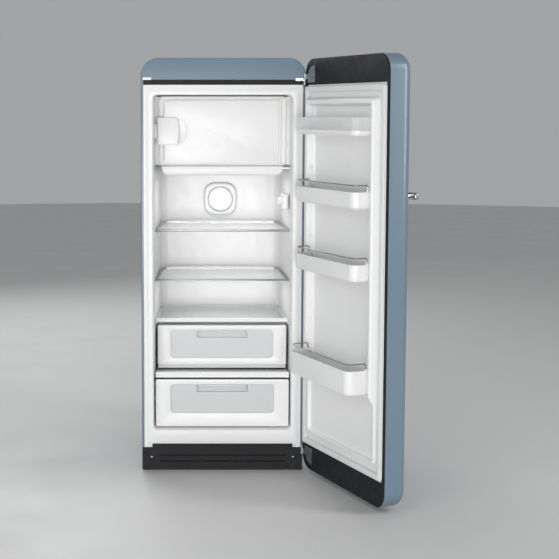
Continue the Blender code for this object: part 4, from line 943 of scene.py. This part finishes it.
def make_door_frame():
    """Black back frame: end caps with fine seams, and thin side rails."""
    skin, edge = SHEET + GAP, 0.024
    half = HALF - edge

    def window(grow, y):
        return along_y(rounded(-half - grow, half + grow, PLATE_LOW - grow, PLATE_HIGH + grow, 0.003 + grow,
                               CORNER_STEPS), y)

    outer = ((0, FRAME_THICKNESS), (0, 0.0010), (0.0004, 0.0003), (0.0012, 0))
    inner = ((0.0012, 0), (0.0004, 0.0004), (0, 0.0012), (0, FRAME_THICKNESS))
    ring = loft([along_y(door_outline(skin + inset), REAR - ahead) for inset, ahead in outer]
                + [window(grow, REAR - ahead) for grow, ahead in inner], ring=True)
    margin = 0.012
    bottom, top = (door_low.z + margin, PLATE_LOW - 0.030), (PLATE_HIGH + margin, door_high.z - margin)
    seams = [block(x - 0.0006, x + 0.0006, REAR - 0.0008, REAR + 0.005, *reach)
             for x, reach in ((0.0, bottom), (-0.120, bottom), (0.125, top), (-0.045, top))]
    add("door_back_frame", carved(ring, *seams), "door_frame")


DYKE_OUTER, DYKE_HEIGHT, DYKE_LOW, DYKE_HIGH = 0.055, 0.030, SILL + 0.008, PLATE_HIGH - 0.047
LOWER_TOP, SLANT, LOWER_HEIGHT = 0.375, 0.020, 0.013


def dyke_loop(upper, lower, share, corner, y=None):
    """An outline round the dyke, from insets above and below its step, at a share of the dyke's height."""
    half = HALF - DYKE_OUTER
    z0, z1 = DYKE_LOW + lower, DYKE_HIGH - upper
    narrow, wide = half - upper, half - lower
    rise = [step / 8 for step in range(9)]
    soft = [t * t * (3 - 2 * t) for t in rise]

    def place(x, z, blend):
        height = LOWER_HEIGHT + (DYKE_HEIGHT - LOWER_HEIGHT) * blend
        return Vector((x, REAR + height * share if y is None else y, z))

    bottom = [place(x, z, 0) for x, z in rounded(-wide, wide, z0, z0 + 0.2, corner, 8)[:18]]
    top = [place(x, z, 1) for x, z in rounded(-narrow, narrow, z1 - 0.2, z1, corner, 8)[18:]]
    right = [place(wide + (narrow - wide) * s, LOWER_TOP - SLANT + 2 * SLANT * t, s)
             for t, s in zip(rise, soft)]
    left = [Vector((-p.x, p.y, p.z)) for p in reversed(right)]
    return bottom + right + top + left


def make_door_liner():
    """Plate with a raised dyke all round, filleted at its foot, crest and inner floor."""
    half = HALF - 0.024 - GAP
    width, low_width, lean = 0.028, 0.0125, 0.005
    plate = rounded(-half, half, PLATE_LOW + GAP, PLATE_HIGH - GAP, 0.003, 8)
    sides = [(half, LOWER_TOP - SLANT + 2 * SLANT * step / 8) for step in range(9)]
    outline = plate[:18] + sides + plate[18:] + [(-x, z) for x, z in reversed(sides)]
    loops = [along_y(outline, REAR - FRAME_THICKNESS), along_y(outline, REAR)]
    foot, brow, floor_round = 0.004, 0.006, 0.009
    for rise, fall in quarter(4):
        loops.append(dyke_loop(-foot * fall, -foot * fall, 0, 0.016, REAR + foot * rise))
    outer_lean, inner_low = lean - 0.0005, low_width - 0.0015
    for rise, fall in quarter(6):
        loops.append(dyke_loop(outer_lean + brow * rise, outer_lean * 0.5 + brow * 0.4 * rise,
                               1 - brow / DYKE_HEIGHT * fall, 0.013))
    for rise, fall in reversed(quarter(6)):
        loops.append(dyke_loop(width - lean - brow * rise, inner_low - brow * 0.4 * rise,
                               1 - brow / DYKE_HEIGHT * fall, 0.013))
    for rise, fall in quarter(6):
        out, share = floor_round * rise, (floor_round * fall + 0.0005) / DYKE_HEIGHT
        loops.append(dyke_loop(width + out, low_width + 0.002 + out, share, 0.020))
    add("door_liner_moulding", loft(loops), "door_liner", smooth=50)


def make_gasket():
    """Magnetic seal with a bellows: fixed foot, folded sides and a flat strip that meets the cabinet."""
    inset, width, margin = 0.018, 0.022, 0.005

    def seal(into, y):
        reach = HALF - inset - into
        z0, z1 = PLATE_LOW + margin + into, PLATE_HIGH - margin - into
        return along_y(rounded(-reach, reach, z0, z1, max(0.010 - into, 0.003), 8), y)

    base, front = REAR + GAP, -GAP
    fold = [(0.0010, base), (0, base + 0.0012), (0.0030, base + 0.0035), (0.0002, base + 0.0060),
            (0.0008, front - 0.0022), (0.0020, front - 0.0006), (0.0040, front)]
    back = [(width - a, y) for a, y in reversed(fold)]
    groove = [(0.0075, front), (0.0080, front - 0.0007), (0.0090, front - 0.0007), (0.0095, front)]
    loops = [seal(a, y) for a, y in fold + groove + back]
    add("door_seal", loft(loops, ring=True), "door_gasket", smooth=30)


def make_handle():
    """A squared bar with soft ends, on a flared post at each end."""
    low, high = box_in("door_handle")
    low, high = low + Vector((0.0003, 0.0002, 0)), high - Vector((0.0003, 0, 0))
    thickness = 0.012
    back = low.y + thickness
    cy, cz = (low.y + back) / 2, (low.z + high.z) / 2
    profile = rounded(low.y, back, low.z, high.z, 0.0052, 8)

    def section(x, share):
        return along_x([(cy + (y - cy) * share, cz + (z - cz) * share) for y, z in profile], x)

    end = 0.005
    stations = [(low.x + end * rise, 1 - 0.55 * fall) for rise, fall in quarter(6)]
    mirrored = [(low.x + high.x - x, share) for x, share in reversed(stations)]
    bar = loft([section(x, share) for x, share in stations + mirrored])
    width, height, flare, corner = 0.014, 0.020, 0.0016, 0.0045
    flanks = ((back - 0.003, 0), (back + 0.008, 0), (high.y - 0.006, 0.0002), (high.y - 0.0025, 0.0008),
              (high.y - 0.0008, flare), (high.y, flare))
    posts = []
    for x in (low.x + 0.002 + width / 2, high.x - 0.002 - width / 2):
        loops = []
        for y, grow in flanks:
            wide, tall = width / 2 - flare + grow, height / 2 - flare + grow
            loops.append(along_y(rounded(x - wide, x + wide, cz - tall, cz + tall, corner, 6), y))
        posts.append(loft(loops))
    add("door_handle_bar", together(bar, *posts), "door_handle", smooth=40)


# Door bins


def bin_outline(low, high, inset, corner=0.027):
    front, back = max(corner - inset, 0.001), max(0.004 - inset / 2, 0.001)
    radii = (back, back, front, front)
    return rounded(low.x + inset, high.x - inset, low.y + inset, high.y - inset, radii, 10)


def bin_rings(low, high, steps):
    return [along_z(bin_outline(low, high, inset), z) for inset, z in steps]


def tub_loops(low, high, z0, z1, wall=0.002):
    """A bin: foot plate, rounded foot, groove under the rim, rolled rim, round inner floor."""
    floor_round, rim, groove = 0.006, 0.0008, z1 - 0.0085
    plinth, ledge, foot = 0.0035, 0.0060, 0.0035  # height of the plinth, its step in, the round above it
    steps = [(ledge + 0.0006, z0), (ledge, z0 + 0.0006), (ledge, z0 + plinth)]
    steps += [(foot * fall, z0 + plinth + foot * rise) for rise, fall in quarter(4)]
    steps += [(0, groove), (0.0008, groove + 0.0004), (0.0008, groove + 0.0018), (0, groove + 0.0022),
              (0, z1 - rim), (rim, z1), (wall - 0.0002, z1), (wall, z1 - rim)]
    steps += [(wall + floor_round * rise * 0.8, z0 + wall + floor_round * fall) for rise, fall in quarter(4)]
    return bin_rings(low, high, steps)


def make_bin(name):
    low, high = box_in(f"{name}_bin")
    _, rail_high = box_in(f"{name}_bin_rail")
    radius = 0.0022
    level = rail_high.z - radius
    rim = level - 0.022
    reach = Vector((high.x, rail_high.y + 0.0038, high.z))
    side, back, foot_half = rail_high.x - radius, REAR + 0.027, 0.0042
    feet = [block(x - foot_half, x + foot_half, back - 0.007, back + 0.007, rim - 0.012, rim + 0.0035, 0.0014)
            for x in (-side, side)]
    body = loft(tub_loops(low, reach, low.z, rim))
    add(f"{name}_bin_tub", together(body, *feet), f"{name}_bin", smooth=40)
    path = rail_path(side, rail_high.y - radius, back, rim - 0.001, level)
    add(f"{name}_bin_wire", tube(path, radius, 16), f"{name}_bin_rail")


def rail_path(side, front, back, foot, level):
    """Up out of one end of the rim, round the bin with wide corners, and down into the other end."""
    rise, corner = 0.007, 0.021
    half = [Vector((side, back, foot))]
    half += [Vector((side, back + rise * out, level - rise * fall)) for out, fall in quarter(8)]
    half += [Vector((side - corner * out, front - corner * back_by, level)) for out, back_by in quarter(8)]
    return half + [Vector((-p.x, p.y, p.z)) for p in reversed(half)]


def make_dairy_bin():
    low, high = box_in("dairy_bin")
    add("dairy_bin_tray", loft(tub_loops(low, high, low.z, high.z)), "dairy_bin", smooth=40)
    pane_low, pane_high = box_in("dairy_bin_window")
    wall, rim = 0.002, 0.0006
    z0, z1 = pane_low.z, pane_high.z
    pane = bin_rings(low, high, [(rim, z0), (0, z0 + rim), (0, z1 - rim), (rim, z1), (wall - rim, z1),
                                 (wall, z1 - rim), (wall, z0 + rim), (wall - rim, z0)])
    ribs = []
    for number in range(5):
        x = low.x + 0.034 + 0.0095 * number
        ribs.append(block(x - 0.0011, x + 0.0011, high.y - wall - 0.0012, high.y - wall + 0.0004, z0 + 0.003,
                          z1 - 0.006, 0.0004))
    add("dairy_bin_pane", together(loft(pane, ring=True), *ribs), "dairy_bin_window", smooth=40)


def make_bin_hooks():
    """Small bosses on the dyke's inner walls, for the bins' other places."""
    hooks = []
    for level in (0.585, 0.890, 1.140):
        for side in (-1, 1):
            x = side * (HALF - DYKE_OUTER - 0.0285)
            y = REAR + 0.013
            profile = ((0.0055, 0), (0.0055, 0.0015), (0.0045, 0.0026), (0.001, 0.003))
            hooks.append(turned(along_x, y, level, [(r, x - side * proud) for r, proud in profile], 20))
    add("bin_hooks", together(*hooks), body="door")


# Stage


def area_light(name, place, target, size, power):
    light = bpy.data.lights.new(name, "AREA")
    light.shape = "RECTANGLE"
    light.size, light.size_y = size
    light.energy = power
    made = in_scene(name, light)
    made.location = place
    made.rotation_euler = (Vector(target) - Vector(place)).to_track_quat("-Z", "Y").to_euler()
    made.visible_camera = False


def make_stage():
    bm = bmesh.new()
    bmesh.ops.create_circle(bm, cap_ends=True, segments=96, radius=14)
    floor = solid("floor", bm)
    floor.location.z = -0.0005
    made, shader = new_material("floor", (0.62, 0.62, 0.61), 0.45)
    patchy(made, shader, noise(made, 3.0), 0.40, 0.55)
    floor.data.materials.append(made)

    world = bpy.data.worlds.new("studio")
    bpy.context.scene.world = world
    world.use_nodes = True
    background = world.node_tree.nodes["Background"]
    background.inputs["Color"].default_value = (0.80, 0.82, 0.84, 1)
    background.inputs["Strength"].default_value = 0.45
    middle = (0, 0, 0.8)
    area_light("front", (-0.6, -4.9, 0.62), (-0.16, 0, 0.72), (3.8, 0.9), 132)
    area_light("key", (-3.0, -3.8, 3.2), middle, (2.0, 2.0), 34)
    area_light("right", (3.4, -1.6, 2.2), middle, (1.0, 2.6), 60)
    area_light("back", (-1.8, 3.8, 2.8), middle, (2.4, 2.0), 70)
    for z, power in ((1.085, 0.50), (0.680, 0.42)):
        area_light("inside_%d" % (1000 * z), CABINET @ Vector((0, 0.20, z)), CABINET @ Vector((0, 0.21, 0)),
                   (0.40, 0.20), power)
    bpy.context.scene.view_settings.view_transform = "Standard"


def make_camera():
    data = bpy.data.cameras.new("camera")
    data.lens, data.sensor_width = 81.6, 36.0
    data.shift_x, data.shift_y = 0.151, -0.080
    camera = in_scene("camera", data)
    camera.location = CABINET @ Vector((-0.102, -4.645, 1.336))
    camera.rotation_euler = (math.radians(90 - 5.55), 0, 0)
    bpy.context.scene.camera = camera


for name, item in frame["nodes"].items():
    item.data.materials.clear()
    item.data.materials.append(MATERIALS[SLOT_OF[name]])

make_shell()
make_liner()
make_kick_plate()
make_cabinet_hinges()
make_rear_panel()
make_base()
make_machinery()
for shelf in ("upper", "lower"):
    make_shelf(shelf)
make_drawer_cover()
for drawer in ("upper", "lower"):
    make_drawer(drawer)
make_ice_box()
make_fan()
make_controls()
make_door_shell()
make_door_frame()
make_door_liner()
make_gasket()
softened("door_hinge_plate_top", 0.0003)
softened("door_hinge_plate_bottom", 0.0003)
make_handle()
for shelf_bin in ("upper", "middle", "bottle"):
    make_bin(shelf_bin)
make_dairy_bin()
make_bin_hooks()
make_stage()
make_camera()
